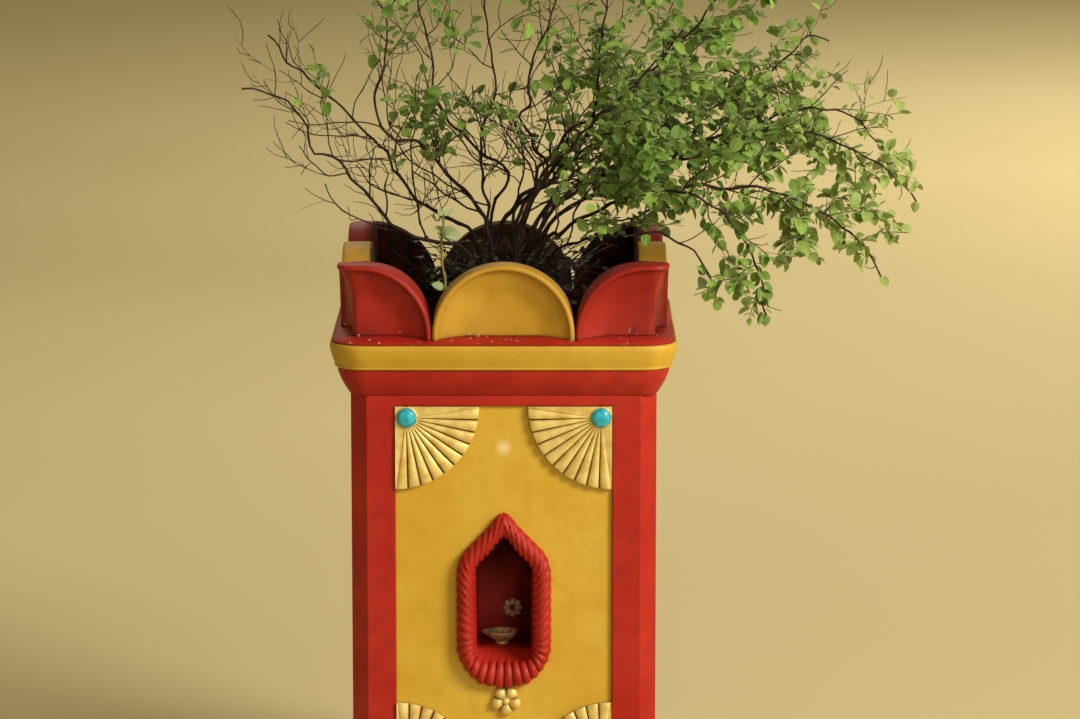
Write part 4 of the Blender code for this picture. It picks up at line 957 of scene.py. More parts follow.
def niche():
    """The casting: its outside, the rope, and the room from its mouth to its back wall, ring after ring."""
    mouth = whole_outline(NICHE_MOUTH, ROPE_POINTS)
    outer = whole_outline(NICHE_OUTER, ROPE_POINTS)
    inside = [Vector((point.x * ROOM_MIDDLE, max(point.y, NICHE_FLOOR))) for point in mouth]
    vault = [point.y - max(point.y - VAULT_FOOT, 0.0) * VAULT_FALL for point in mouth]
    back = [Vector((point.x * ROOM_BACK, max(height, NICHE_FLOOR))) for point, height in zip(mouth, vault)]
    rings = [[(point.x, -NICHE_BACK + NICHE_WALL, point.y) for point in grown(back, NICHE_BACK_WALL)],
             [(point.x, -PANEL_FACE - PETAL_GAP, point.y) for point in grown(mouth, NICHE_WALL)]]
    grime = [1.0] * 2 * ROPE_POINTS
    for share, depth in ROPE_PROFILE:
        ring = []
        for index, (edge, lip) in enumerate(zip(outer, mouth)):
            relief = strand(index, share)
            swell = 1.0 + 0.30 * (relief - 0.80) * (depth > 0.1880)
            middle = edge.lerp(lip, 0.5)
            spot = middle + (edge.lerp(lip, share) - middle) * swell
            out = ROPE_MIDDLE + (depth - ROPE_MIDDLE) * (swell if depth > ROPE_MIDDLE else 1.0)
            ring.append((spot.x, -out, spot.y))
            # painted shade in the rope's grooves
            grime.append(0.55 * max(0.0, 1.0 - relief / 0.55) ** 2)
        rings.append(ring)
    rooms = [(mouth, 0.1830), (inside, NICHE_SILL_DEPTH), (inside, 0.140), (back, 0.110), (back, NICHE_BACK)]
    rooms += [([point.lerp(BACK_CENTRE, share) for point in back], NICHE_BACK)
              for share in (0.25, 0.50, 0.75, 0.97)]
    for outline, depth in rooms:
        rings.append([(point.x, -depth, point.y) for point in outline])
        # the room's walls behind the sill take painted shade
        grime += [niche_shade(point) * (depth < NICHE_SILL_DEPTH) for point in outline]
    points = [point for ring in rings for point in ring]
    return make_piece("niche_painted", points, closed(len(rings), ROPE_POINTS), red, 60, grime=grime)


stand_for(niche(), "niche")
print("rope of", ROPE_STRANDS, "strands round the niche")


# %% [markdown]
# The diya is a small spun brass bowl with a pinched spout for the wick. It is a turned profile whose radius
# is drawn out towards the left.

# %% Oil lamp
DIYA_COLUMNS = 48
DIYA_RADIUS = 0.0195
SPOUT_REACH = 0.40
SPOUT_TURN = 0.33
diya_low, diya_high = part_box("diya")
diya_seat = Vector((diya_high.x - DIYA_RADIUS, (diya_low.y + diya_high.y) / 2, diya_low.z))
# share of the radius, height
DIYA_PROFILE = ((0.30, 0.0), (0.42, 0.0), (0.44, 0.0012), (0.40, 0.0024), (0.55, 0.0042), (0.74, 0.0075),
                (0.90, 0.0115), (0.98, 0.0148), (1.0, 0.0160), (0.985, 0.0165), (0.95, 0.0160),
                (0.90, 0.0140), (0.78, 0.0100), (0.55, 0.0068), (0.25, 0.0056))


def diya():
    """The bowl inside and out; its spout grows from half the radius outward."""
    points = []
    for share, height in DIYA_PROFILE:
        for column in range(DIYA_COLUMNS):
            turn = math.tau * column / DIYA_COLUMNS
            away = min(abs(turn - math.pi), math.tau - abs(turn - math.pi))
            spout = SPOUT_REACH * math.exp(-(away / SPOUT_TURN) ** 2) * max(share - 0.5, 0.0) * 2
            reach = DIYA_RADIUS * share * (1 + spout)
            points.append(diya_seat + Vector((reach * math.cos(turn), reach * math.sin(turn), height)))
    return make_piece("diya_brass", points, closed(len(DIYA_PROFILE), DIYA_COLUMNS), brass, 60)


stand_for(diya(), "diya")
print("oil lamp", round(DIYA_RADIUS * 2000), "mm wide")


# %% [markdown]
# The soil fills the basin in a low mound. Its top is a grid that noise pushes into clods, and a wall and a
# floor close it to the basin's own depth.

# %% Soil
SOIL_HALF = 0.1597
SOIL_CELLS = 84
SOIL_EDGE = 0.655
SOIL_TOP = 0.665
SOIL_SETTLED = 0.0015
CLODS_A_METRE = 95
CLOD_HEIGHT = 0.0028
CLOD_FALLOFF = 0.9
CLOD_FINENESS = 2.1
CLOD_LAYERS = 4
soil_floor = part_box("soil")[0].z


def soil():
    """The mound; its clods flatten towards the basin's walls."""
    side = SOIL_CELLS + 1
    points = []
    for row in range(side):
        for column in range(side):
            x = SOIL_HALF * (2 * column / SOIL_CELLS - 1)
            y = SOIL_HALF * (2 * row / SOIL_CELLS - 1)
            away = max(abs(x), abs(y)) / SOIL_HALF
            mound = SOIL_EDGE + (SOIL_TOP - SOIL_EDGE) * (1 - away ** 3)
            place = Vector((x, y, 0.0)) * CLODS_A_METRE
            clods = CLOD_HEIGHT * noise.fractal(place, CLOD_FALLOFF, CLOD_FINENESS, CLOD_LAYERS)
            points.append((x, y, mound - SOIL_SETTLED + clods * min(1.0, (1 - away) * 9)))
    border = list(range(side)) + [row * side + SOIL_CELLS for row in range(1, side)]
    border += [SOIL_CELLS * side + column for column in reversed(range(SOIL_CELLS))]
    border += [row * side for row in reversed(range(1, SOIL_CELLS))]
    start = len(points)
    points += [(points[index][0], points[index][1], soil_floor) for index in border]
    faces = strips(side, side)
    for index in range(len(border)):
        after = (index + 1) % len(border)
        faces.append((border[index], border[after], start + after, start + index))
    faces.append(tuple(range(start, start + len(border))))
    return make_piece("soil_mound", points, faces, soil_finish, 180)


mound = stand_for(soil(), "soil")
print("soil from", round(soil_floor, 3), "to", round(max(vertex.co.z for vertex in mound.data.vertices), 3))


# %% [markdown]
# The basil grows by a rule. Sixteen stems were bent to follow the photograph, and each sends out
# twigs at its joints, turning by the golden angle as real shoots do, and those send out finer ones. Leaves sit
# in crossed pairs where the bush is thick and are missing where it has gone bare. The solids keep a part of
# this same plant, so the numbers here are the ones they were grown from.

# %% The stems
# The stems: name, radius at the soil in mm, place in the soil, then points along the stem in mm
STEMS = (
    ("stem_low_left", 3.4, (-30, -14), (
        (-36, -18, 745), (-60, -22, 788), (-85, -28, 792), (-115, -35, 802), (-140, -42, 815),
        (-160, -48, 840), (-190, -55, 870), (-215, -62, 908), (-240, -66, 912), (-250, -70, 945),
        (-260, -74, 965), (-290, -80, 985), (-330, -90, 995))),
    ("stem_left", 3.1, (-28, 12), (
        (-30, 18, 740), (-42, 25, 790), (-62, 32, 808), (-88, 40, 822), (-120, 50, 835),
        (-128, 58, 852), (-146, 66, 875), (-152, 72, 895), (-172, 80, 912), (-198, 90, 938),
        (-230, 100, 965), (-270, 112, 998), (-310, 125, 1040))),
    ("stem_upper_left", 3.3, (-13, -22), (
        (-14, -20, 740), (-22, -14, 800), (-32, -14, 828), (-48, -20, 848), (-66, -30, 868),
        (-100, -50, 915), (-140, -70, 932), (-165, -85, 962), (-158, -95, 1000), (-145, -105, 1055),
        (-155, -115, 1105), (-168, -120, 1150))),
    ("stem_crossing", 3.0, (-14, 32), (
        (-15, 32, 740), (-16, 32, 800), (-10, 36, 838), (6, 44, 870), (-28, 58, 894), (-55, 78, 917),
        (-76, 95, 938), (-94, 115, 970), (-96, 130, 1008), (-106, 140, 1058), (-120, 150, 1120))),
    ("stem_inner", 2.9, (0, -4), (
        (2, -2, 740), (8, 0, 800), (16, -2, 835), (36, -8, 852), (52, -16, 870), (54, -24, 890),
        (42, -32, 908), (30, -42, 932), (18, -54, 952), (30, -62, 975), (32, -68, 1005),
        (46, -80, 1055), (64, -90, 1100), (70, -96, 1155))),
    ("stem_main", 4.4, (2, 16), (
        (0, 18, 740), (-6, 14, 795), (0, 12, 818), (14, 14, 832), (36, 20, 850), (62, 24, 866),
        (82, 30, 882), (96, 36, 900), (104, 42, 920), (116, 48, 942), (124, 56, 975), (122, 63, 1025),
        (132, 71, 1080), (146, 79, 1150))),
    ("stem_right", 4.0, (26, 8), (
        (30, 8, 740), (40, 8, 790), (52, 12, 822), (72, 20, 842), (112, 34, 864), (160, 50, 878),
        (225, 66, 884), (285, 76, 902), (345, 82, 922), (405, 84, 916), (455, 86, 896), (500, 86, 866),
        (535, 84, 828))),
    ("stem_front_right", 3.5, (28, -12), (
        (36, -18, 745), (50, -30, 792), (72, -42, 806), (98, -56, 822), (128, -72, 842),
        (170, -95, 862), (225, -120, 868), (265, -135, 850), (300, -143, 812), (320, -147, 765),
        (330, -149, 715))),
    ("stem_back_right", 3.6, (14, 30), (
        (22, 32, 745), (38, 36, 800), (60, 50, 836), (95, 72, 870), (142, 96, 895), (205, 125, 908),
        (255, 145, 930), (310, 160, 962), (360, 172, 1000), (398, 180, 1035), (428, 184, 1030))),
    ("stem_high_right", 3.8, (14, -24), (
        (16, -26, 745), (26, -28, 810), (42, -38, 855), (74, -54, 902), (118, -76, 950),
        (165, -96, 996), (210, -112, 1045), (255, -125, 1098), (295, -135, 1160))),
    ("stem_middle", 2.9, (-14, 2), (
        (-14, 2, 740), (-18, 2, 800), (-24, 4, 850), (-30, 6, 895), (-26, 8, 935), (-12, 12, 975),
        (-16, 8, 1028), (-26, 2, 1088), (-16, -6, 1160))),
    ("stem_low_right", 2.9, (42, -2), (
        (50, -10, 735), (62, -32, 776), (92, -62, 796), (134, -96, 808), (182, -126, 816),
        (222, -145, 806), (254, -154, 778), (266, -158, 738))),
    ("stem_front", 3.2, (6, -40), (
        (10, -46, 745), (18, -62, 805), (34, -88, 856), (62, -124, 906), (104, -162, 954),
        (144, -194, 994), (184, -217, 1040), (222, -234, 1085))),
    ("stem_back", 3.2, (0, 42), (
        (4, 46, 745), (14, 62, 800), (32, 88, 842), (62, 128, 888), (116, 168, 930), (184, 202, 962),
        (262, 228, 985), (330, 246, 972), (392, 254, 948))),
    ("stem_far_right", 3.6, (32, 27), (
        (36, 30, 740), (52, 38, 795), (84, 44, 826), (130, 40, 842), (190, 26, 852), (250, 10, 858),
        (310, -6, 860), (366, -20, 848), (416, -30, 824), (456, -36, 790), (482, -38, 748))),
    ("stem_far_back", 3.6, (20, 46), (
        (26, 52, 745), (48, 66, 800), (84, 86, 836), (130, 112, 864), (190, 140, 880), (262, 150, 898),
        (330, 142, 924), (396, 130, 944), (450, 118, 938), (492, 110, 902))),
)
SHOOT = ("green_shoot", 2.2, (-72, -96), ((-74, -95, 720), (-76, -93, 775), (-79, -91, 832)))
SHOOT_TIP = 0.0016
print("stems:", len(STEMS))


# %% [markdown]
# The next numbers say how it grows. Those in brackets are for the first, second and third twigs away from a
# stem: how far up it they may start, how often they come, how long and thick they are and how they rise.

# %% Numbers of its growth
STEM_FOOT = 0.600
PLANT_SEED = 21
STEM_TIP = 0.0011
STEM_TAPER = 1.35
TWIG_TAPER = 0.85
MAIN_STEP = 0.018
KNEE = 0.0016
GOLDEN_ANGLE = 2.39996
SIDE_LEVELS = 3
FIRST_SHOOT = (0.30, 0.14, 0.15)
SHOOT_CHANCE = (0.92, 0.92, 0.75)
SHOOT_REACH = (0.150, 0.085, 0.050)
SHOOT_STEP = (0.019, 0.016, 0.014)
SHOOT_FORWARD = (0.75, 0.85, 0.90)
SHOOT_LIFT = (0.10, 0.06, 0.05)
SHOOT_THICKNESS = (0.0021, 0.0015, 0.0011)
SHOOT_WANDER = 0.16
SHOOT_SINKING = 0.35
SHOOT_THINNER = 0.62
SHOOT_NARROWING = 0.55
LEAF_LENGTH = 0.030
LEAF_START = (1.0, 0.45, 0.28, 0.20)
LEAF_SINK = 0.0015

# The space that twigs and leaves keep to
KEEP_OFF = 0.235
LOWEST_OVER_POT = 0.802
LOWEST_HANGING = 0.690
HIGHEST = 1.185
LEFTMOST = -0.345
RIGHTMOST = 0.552
DEEPEST = 0.285

# Where the leaves stand close: across, up, half width, half height in mm, then how thick they are
LEAFY = (
    (254, 958, 165, 125, 1.0), (370, 860, 130, 95, 1.0), (474, 880, 90, 66, 0.9), (312, 738, 60, 66, 1.0),
    (280, 1074, 150, 85, 0.95), (125, 1020, 66, 78, 0.95), (-95, 945, 48, 36, 1.0), (-82, 1076, 110, 44, 0.7),
    (-231, 1022, 38, 38, 0.75), (-153, 1085, 44, 36, 0.9), (-11, 981, 30, 26, 0.85), (168, 838, 62, 48, 0.95),
    (90, 925, 60, 40, 0.45), (-29, 862, 24, 16, 0.5), (100, 1150, 270, 55, 0.8),
)

Branch = collections.namedtuple("Branch", "stem level points radii")
Leaf = collections.namedtuple("Leaf", "stem branch seat heading face length rank")
print("levels of twigs:", SIDE_LEVELS)


# %% [markdown]
# A stem is a smooth curve through its given points, with a small knee at each step. Helpers give its
# taper and a direction square to it.

# %% Paths
def curve_through(points, step):
    """Points about one step apart on a smooth curve through the given ones."""
    ends = [points[0] * 2 - points[1], *points, points[-1] * 2 - points[-2]]
    path = []
    for a, b, c, d in zip(ends, ends[1:], ends[2:], ends[3:]):
        count = max(1, round((c - b).length / step))
        for index in range(count):
            t = index / count
            bend = (2 * a - 5 * b + 4 * c - d) * t * t + (3 * b - a - 3 * c + d) * t ** 3
            path.append((b * 2 + (c - a) * t + bend) / 2)
    path.append(points[-1].copy())
    return path


def main_path(rng, seat, spine):
    """A stem's course: straight in the soil, then through its points with small knees."""
    x, y = seat[0] / 1000, seat[1] / 1000
    collar = Vector((x, y, SOIL_TOP + 0.004))
    path = curve_through([collar, *[Vector(point) / 1000 for point in spine]], MAIN_STEP)
    for point in path[2:-1]:
        point += Vector((rng.gauss(0, KNEE), rng.gauss(0, KNEE), rng.gauss(0, KNEE)))
    path = [Vector((x, y, STEM_FOOT)), *path]
    if len(path) % 2 == 0:
        path.insert(-1, (path[-2] + path[-1]) / 2)
    return path


def taper(thick, thin, count, power=TWIG_TAPER):
    """Radii that fall from thick to thin."""
    return [thin + (thick - thin) * (1 - index / (count - 1)) ** power for index in range(count)]


def across(direction, turn):
    """A direction square to this one, turned about it."""
    side = direction.cross(UP if abs(direction.z) < 0.9 else Vector((1.0, 0.0, 0.0))).normalized()
    return Matrix.Rotation(turn, 3, direction) @ side


print("a twig's radii in mm:", [round(radius * 1000, 2) for radius in taper(0.002, 0.001, 5)])


# %% [markdown]
# Two fields in space steer the growth: how leafy the bush is at a place, and whether the place is free, which
# keeps twigs off the pot and inside the outline of the whole plant.

# %% Where leaves and twigs may be
def leafiness(point):
    """How closely the leaves stand here, from 0 to 1."""
    x, z = point.x * 1000, point.z * 1000
    return max(strength * math.exp(-0.8 * (((x - u) / wide) ** 2 + ((z - w) / tall) ** 2) ** 1.5)
               for u, w, wide, tall, strength in LEAFY)


def in_the_open(point):
    """Clear of the pot and inside the plant's outline."""
    over_pot = max(abs(point.x), abs(point.y)) < KEEP_OFF
    lowest = LOWEST_OVER_POT if over_pot else LOWEST_HANGING
    return lowest < point.z < HIGHEST and LEFTMOST < point.x < RIGHTMOST and abs(point.y) < DEEPEST


print("leafiness at the thickest place:", round(leafiness(Vector((0.254, 0.0, 0.958))), 2))


# %% [markdown]
# A twig wanders a little at each step and turns slowly upward. At every second joint of a branch one may
# leave it, each round by the golden angle from the last, shorter towards the tip.

# %% Twigs
def shoot_path(rng, seat, heading, reach, lift, count):
    """A wandering twig that turns slowly upward."""
    path = [seat.copy()]
    direction = heading.normalized()
    for _ in range(count - 1):
        wander = Vector((rng.gauss(0, 1), rng.gauss(0, 1), rng.gauss(0, 1))) * SHOOT_WANDER
        direction = (direction + UP * lift + wander).normalized()
        path.append(path[-1] + direction * (reach / (count - 1)))
    return path


def side_shoots(rng, parent, level):
    """The twigs that leave a branch at its joints."""
    path = parent.points
    last = len(path) - 1
    shoots = []
    turn = rng.uniform(0, math.tau)
    for index in range(2, last, 2):
        turn += GOLDEN_ANGLE + rng.uniform(-0.5, 0.5)
        share = index / last
        chance, stretch, _ = rng.random(), rng.uniform(0.6, 1.25), rng.random()
        tangent = (path[index + 1] - path[index - 1]).normalized()
        heading = tangent * SHOOT_FORWARD[level] + across(tangent, turn)
        heading.z = heading.z * (SHOOT_SINKING if heading.z < 0 else 1.0)
        reach = SHOOT_REACH[level] * (1.2 - 0.7 * share) * stretch
        count = 2 * max(1, round(reach / SHOOT_STEP[level] / 2)) + 1
        dense = leafiness(path[index])
        lift = SHOOT_LIFT[level] * (1.0 - 1.3 * dense * (path[index].x > 0.2))
        grown_path = shoot_path(rng, path[index], heading, reach, lift, count)
        if share < FIRST_SHOOT[level] or chance > SHOOT_CHANCE[level]:
            continue
        if not all(in_the_open(point) for point in grown_path[1:]):
            continue
        thick = min(SHOOT_THICKNESS[level], parent.radii[index] * SHOOT_THINNER)
        radii = taper(thick, thick * SHOOT_NARROWING, count)
        shoots.append(Branch(parent.stem, level + 1, grown_path, radii))
    return shoots


# %% [markdown]
# Basil leaves stand in pairs, each pair crossing the one below. A leaf is kept by its place, where it points,
# which way its face looks, its length and a chance number that later lightens it.

# %% Leaves
def leaves_of(rng, branch, number):
    """Leaves in crossed pairs along a twig, and one at its tip."""
    path = branch.points
    last = len(path) - 1
    found = []
    turn = rng.uniform(0, math.tau)
    for index in range(1, last + 1):
        turn += math.pi / 2 + rng.uniform(-0.3, 0.3)
        tangent = (path[index] - path[index - 1]).normalized()
        for side in (0.0, math.pi):
            chance, stretch, rank = rng.random(), rng.uniform(0.72, 1.12), rng.random()
            heading = tangent * 0.55 + across(tangent, turn + side) * 0.85 - UP * rng.uniform(0.0, 0.45)
            face = UP + Vector((rng.gauss(0, 1), rng.gauss(0, 1), 0.0)) * 0.45
            length = LEAF_LENGTH * stretch * (1.0 - 0.3 * (index / last) ** 2)
            if index == last and side:
                heading = tangent - UP * 0.15
            heading.normalize()
            if index / last < LEAF_START[branch.level] or chance > leafiness(path[index]):
                continue
            seat = path[index] - tangent * (LEAF_SINK if index == last else 0.0)
            if in_the_open(seat + heading * length):
                found.append(Leaf(branch.stem, number, seat, heading, face, length, rank))
    return found


# %% [markdown]
# Every stem draws its chances from a seed of its own, and so does every branch for its leaves, so the same
# plant grows each time.

# %% The whole plant
def grow():
    """Every branch and leaf of the plant."""
    branches = []
    for stem, (_, radius, seat, spine) in enumerate(STEMS):
        rng = random.Random(PLANT_SEED * 100 + stem)
        path = main_path(rng, seat, spine)
        level_now = [Branch(stem, 0, path, taper(radius / 1000, STEM_TIP, len(path), STEM_TAPER))]
        branches += level_now
        for level in range(SIDE_LEVELS):
            level_now = [shoot for branch in level_now for shoot in side_shoots(rng, branch, level)]
            branches += level_now
    leaves = []
    for number, branch in enumerate(branches):
        rng = random.Random(PLANT_SEED * 100000 + number)
        leaves += leaves_of(rng, branch, number)
    return branches, leaves


branches, leaves = grow()
print("branches:", len(branches), "leaves:", len(leaves))


# %% [markdown]
# The real bush is finer still than the solids allow. Thin bare twiglets fork from many joints. They and what
# follows are drawn after the plant has grown, each branch with its own seed, so they change nothing above.

# %% Twiglets
TWIGLET_REACH = 0.046
TWIGLET_RADIUS = 0.00055
TWIGLET_CHANCE = 0.34
TWIGLET_FORWARD = 0.8
TWIGLET_LIFT = 0.14
TWIGLET_POINTS = 6
BARE_FOOT = 0.3


def twiglets():
    """Fine bare twigs at the joints, the longest where the bush is bare."""
    found = []
    for number, branch in enumerate(branches):
        rng = random.Random(PLANT_SEED * 7000 + number)
        for index in range(1, len(branch.points) - 1):
            bare = 1.0 - leafiness(branch.points[index])
            chance, turn = rng.random(), rng.uniform(0, math.tau)
            reach = rng.uniform(0.30, 1.1) * TWIGLET_REACH * (0.9 + 0.4 * bare)
            tangent = (branch.points[index + 1] - branch.points[index - 1]).normalized()
            heading = tangent * TWIGLET_FORWARD + across(tangent, turn)
            path = shoot_path(rng, branch.points[index], heading, reach, TWIGLET_LIFT, TWIGLET_POINTS)
            too_low = branch.level == 0 and index < len(branch.points) * BARE_FOOT
            if chance < TWIGLET_CHANCE and not too_low and all(in_the_open(point) for point in path[1:]):
                radii = taper(TWIGLET_RADIUS, TWIGLET_RADIUS * 0.6, TWIGLET_POINTS)
                found.append(Branch(branch.stem, 4, path, radii))
    return found


fine_twigs = twiglets()
print("twiglets:", len(fine_twigs))


# %% [markdown]
# Small new leaves crowd in the angles of the large ones. They come in tufts, which a smooth noise places, and
# thin out towards the far right end, where the growth is youngest.

# %% Young leaves
YOUNG_LEAF = 0.020
YOUNG_TRIES = 4
# young leaves are few to the left of this place, and to the right of it most crowded below this height
SPARSE_LEFT = 0.06
LOW_GROWTH = 0.93
CLUMP_SIZE = 0.050
OUTER_FROM = 0.30
OUTER_REACH = 0.20


def clump(point):
    """From 0 between the tufts of leaves to 1 inside one."""
    return clamp(0.5 + 0.9 * noise.noise(point / CLUMP_SIZE))


def outward(point):
    """From 0 in the bush to 1 at its far right end, where the young leaves thin out and the leaves are painted paler
    as painted light.
    """
    return clamp((point.x - OUTER_FROM) / OUTER_REACH)


def young_leaves():
    """Small leaves in the angles of the twigs: in tufts, few at the left and on the main stems."""
    found = []
    for number, branch in enumerate(branches):
        rng = random.Random(PLANT_SEED * 9000 + number)
        for index in range(1, len(branch.points)):
            here = branch.points[index]
            crowd = leafiness(here) * (0.30 + 1.1 * clump(here)) * (1.0 - 0.3 * outward(here))
            crowd *= 0.42 if here.x < SPARSE_LEFT else 0.85 + 0.6 * (here.z < LOW_GROWTH)
            crowd -= 0.45 if branch.level == 0 else 0.18
            for _ in range(YOUNG_TRIES):
                chance, turn, along = rng.random(), rng.uniform(0, math.tau), rng.random()
                seat = here.lerp(branch.points[index - 1], along * 0.8)
                tangent = (here - branch.points[index - 1]).normalized()
                heading = (tangent * 0.4 + across(tangent, turn) - UP * rng.uniform(0.0, 0.6)).normalized()
                face = UP + Vector((rng.gauss(0, 1), rng.gauss(0, 1), 0.0)) * 0.5
                length = YOUNG_LEAF * rng.uniform(0.6, 1.25)
                if chance < crowd and in_the_open(seat + heading * length):
                    found.append(Leaf(branch.stem, number, seat, heading, face, length, rng.random() * 0.6))
    return found


new_leaves = young_leaves()
print("young leaves:", len(new_leaves))


# %% [markdown]
# A dark tangle of dead twigs and old leaves fills the pot between the petals. Most of it spreads from the
# lower ends of the stems, and a few twigs lean to the gaps between the petals at the back.

# %% Tangle in the pot
TANGLE_REACH = 0.070
TANGLE_LOW = 0.672
TANGLE_FROM = 0.684
TANGLE_TOP = 0.772
TANGLE_SPARE = 0.015
TANGLE_HALF = 0.152
TANGLE_TRIES = 7
TANGLE_LEANING = 2
DEAD_POINTS = 7
DEAD_RADII = (0.0010, 0.0005)
# the gaps between the petals at the back
PETAL_GAPS = (Vector((-0.084, 0.122, 0.735)), Vector((0.088, 0.122, 0.735)))


def in_the_basin(point):
    """Between the soil and the petals' tops, clear of the petals."""
    inside = max(abs(point.x), abs(point.y)) < TANGLE_HALF
    return inside and TANGLE_LOW < point.z < TANGLE_TOP + TANGLE_SPARE


def tangle():
    """Dead twigs and old leaves low on the stems; the first tries at each joint lean to the petals' gaps."""
    twigs = []
    dead = []
    for number, branch in enumerate(branches):
        if branch.level:
            continue
        rng = random.Random(PLANT_SEED * 5000 + number)
        low = [index for index, point in enumerate(branch.points) if TANGLE_FROM < point.z < TANGLE_TOP]
        for index, attempt in itertools.product(low, range(TANGLE_TRIES)):
            reach, turn = rng.uniform(0.5, 1.2) * TANGLE_REACH, rng.uniform(0, math.tau)
            seat = branch.points[index].lerp(branch.points[index - 1], rng.random())
            heading = across(UP, turn) + UP * rng.uniform(0.1, 0.9)
            if attempt < TANGLE_LEANING:
                spread = Vector((rng.gauss(0, 0.022), rng.gauss(0, 0.018), rng.gauss(0, 0.022)))
                heading = PETAL_GAPS[rng.randrange(2)] + spread - seat
                reach = heading.length
            path = shoot_path(rng, seat, heading, reach, 0.03, DEAD_POINTS)
            if not all(in_the_basin(point) for point in path[1:]):
                continue
            twigs.append(Branch(branch.stem, 4, path, taper(*DEAD_RADII, DEAD_POINTS)))
            for joint in path[2:]:
                heading = (across(UP, rng.uniform(0, math.tau)) - UP * rng.uniform(-0.3, 0.7)).normalized()
                face = UP + Vector((rng.gauss(0, 1), rng.gauss(0, 1), 0.0)) * 0.7
                length = rng.uniform(0.009, 0.018)
                if rng.random() < 0.5 and in_the_basin(joint + heading * length):
                    dead.append(Leaf(branch.stem, -1, joint, heading, face, length, 0.0))
    return twigs, dead


dead_twigs, dead_leaves = tangle()
print("dead twigs:", len(dead_twigs), "old leaves:", len(dead_leaves))


# %% [markdown]
# A basil leaf is a rounded blade, folded along its midrib and drooping a little, on a short stalk. Three of
# them are modelled, closed and with few faces because they are placed thousands of times. Each remembers
# where a point lies on its blade, from which the leaf finish draws the midrib and the side veins.

# %% Leaf shapes
# share of the blade's length, half width
LEAF_ROWS = ((0.0, 0.05), (0.10, 0.20), (0.28, 0.315), (0.50, 0.335), (0.72, 0.275), (0.90, 0.15), (1.0, 0.0))
STALK_SHARE = 0.15
STALK_HALF = 0.014
BLADE_THICKNESS = 0.014


def leaf_shape(name, fold, droop, twist):
    """A leaf one unit long, along +Y, with its face to +Z."""
    rows = len(LEAF_ROWS)
    points = []
    blade = []
    faces = []
    for side in (1, -1):
        for row, (share, width) in enumerate(LEAF_ROWS):
            along = STALK_SHARE + (1 - STALK_SHARE) * share
            for column in (-1, 0, 1):
                lift = fold * width * abs(column) + twist * (share - 0.3) * column * width - droop * along ** 2
                lift += side * BLADE_THICKNESS / 2 * (column == 0) * (row < rows - 1)
                points.append((column * width, along, lift))
                blade.append((float(column), share, 1.0))
    for side in range(2):
        for row in range(rows - 1):
            for column in range(2):
                a = side * rows * 3 + row * 3 + column
                face = (a, a + 1, a + 4, a + 3)
                faces.append(face if side == 0 else face[::-1])
    start = len(points)
    for along in (0.0, STALK_SHARE + 0.02):
        for x, z in ((-STALK_HALF, -STALK_HALF), (STALK_HALF, -STALK_HALF), (0.0, STALK_HALF)):
            points.append((x, along, z - droop * along ** 2))
            blade.append((0.0, 0.0, 0.0))
    for index in range(3):
        after = (index + 1) % 3
        faces.append((start + index, start + after, start + 3 + after, start + 3 + index))
    faces += [(start + 2, start + 1, start), (start + 3, start + 4, start + 5)]
    mesh = bpy.data.meshes.new(name)
    mesh.from_pydata(points, [], faces)
    kept = mesh.attributes.new("blade", "FLOAT_VECTOR", "POINT")
    kept.data.foreach_set("vector", [value for spot in blade for value in spot])
    work = bmesh.new()
    work.from_mesh(mesh)
    bmesh.ops.remove_doubles(work, verts=work.verts[:], dist=1e-5)
    bmesh.ops.dissolve_degenerate(work, edges=work.edges[:], dist=1e-5)
    bmesh.ops.recalc_face_normals(work, faces=work.faces[:])
    work.to_mesh(mesh)
    work.free()
    mesh.shade_smooth()
    mesh.set_sharp_from_angle(angle=math.radians(100))
    return bpy.data.objects.new(name, mesh)


leaf_kinds = bpy.data.collections.new("leaf shapes")
bpy.context.scene.collection.children.link(leaf_kinds)
for name, fold, droop, twist in (("leaf_flat", 0.22, 0.08, 0.10), ("leaf_cupped", 0.36, 0.20, -0.16),
                                 ("leaf_drooping", 0.28, 0.34, 0.08)):
    leaf_kinds.objects.link(leaf_shape(name, fold, droop, twist))


# %% [markdown]
# Old basil wood is dark purple-brown with a grey bloom, and its youngest twigs are green. The leaves run from
# deep green in the thick of the bush to yellow-green, and towards the far right end of the bush they are
# painted paler as painted light. They have a paler underside, a light midrib, and a soft, slightly hairy
# surface. A few are dry and brown.

# %% Bark and leaf finishes
LICHEN = "77685c"
GREEN_WOOD = "5d5f2a"
VEIN = "9fb35c"
UNDERSIDE = "8fa070"
DRIED = "2c1e16"
VEIN_PAIRS = 7.5


def basil_bark(name, dark, bloom):
    """Thin ridged bark with a grey bloom, grown green where the wood is young."""
    made, tree, shader, place = new_material(name)
    upright = add(tree, "ShaderNodeMapping", {"Vector": place, "Scale": (1.0, 1.0, 0.25)})
    ridges = add(tree, "ShaderNodeTexNoise", {"Vector": upright, "Scale": marks(1.5), "Detail": 4.0})
    patches = add(tree, "ShaderNodeTexNoise", {"Vector": place, "Scale": marks(14), "Detail": 2.0})
    young = add(tree, "ShaderNodeAttribute", None, "Fac", attribute_name="young")
    colour = coats(tree, linear(dark), ((ridges, bloom, 0.40, 0.70, 1.0), (patches, LICHEN, 0.55, 0.80, 0.35),
                                        (young, GREEN_WOOD)))
    relief = add(tree, "ShaderNodeBump", {"Strength": 0.7, "Distance": 0.0006, "Height": ridges})
    join(shader, {"Base Color": colour, "Roughness": 0.78, "Normal": relief, "Specular IOR Level": 0.3})
    return made


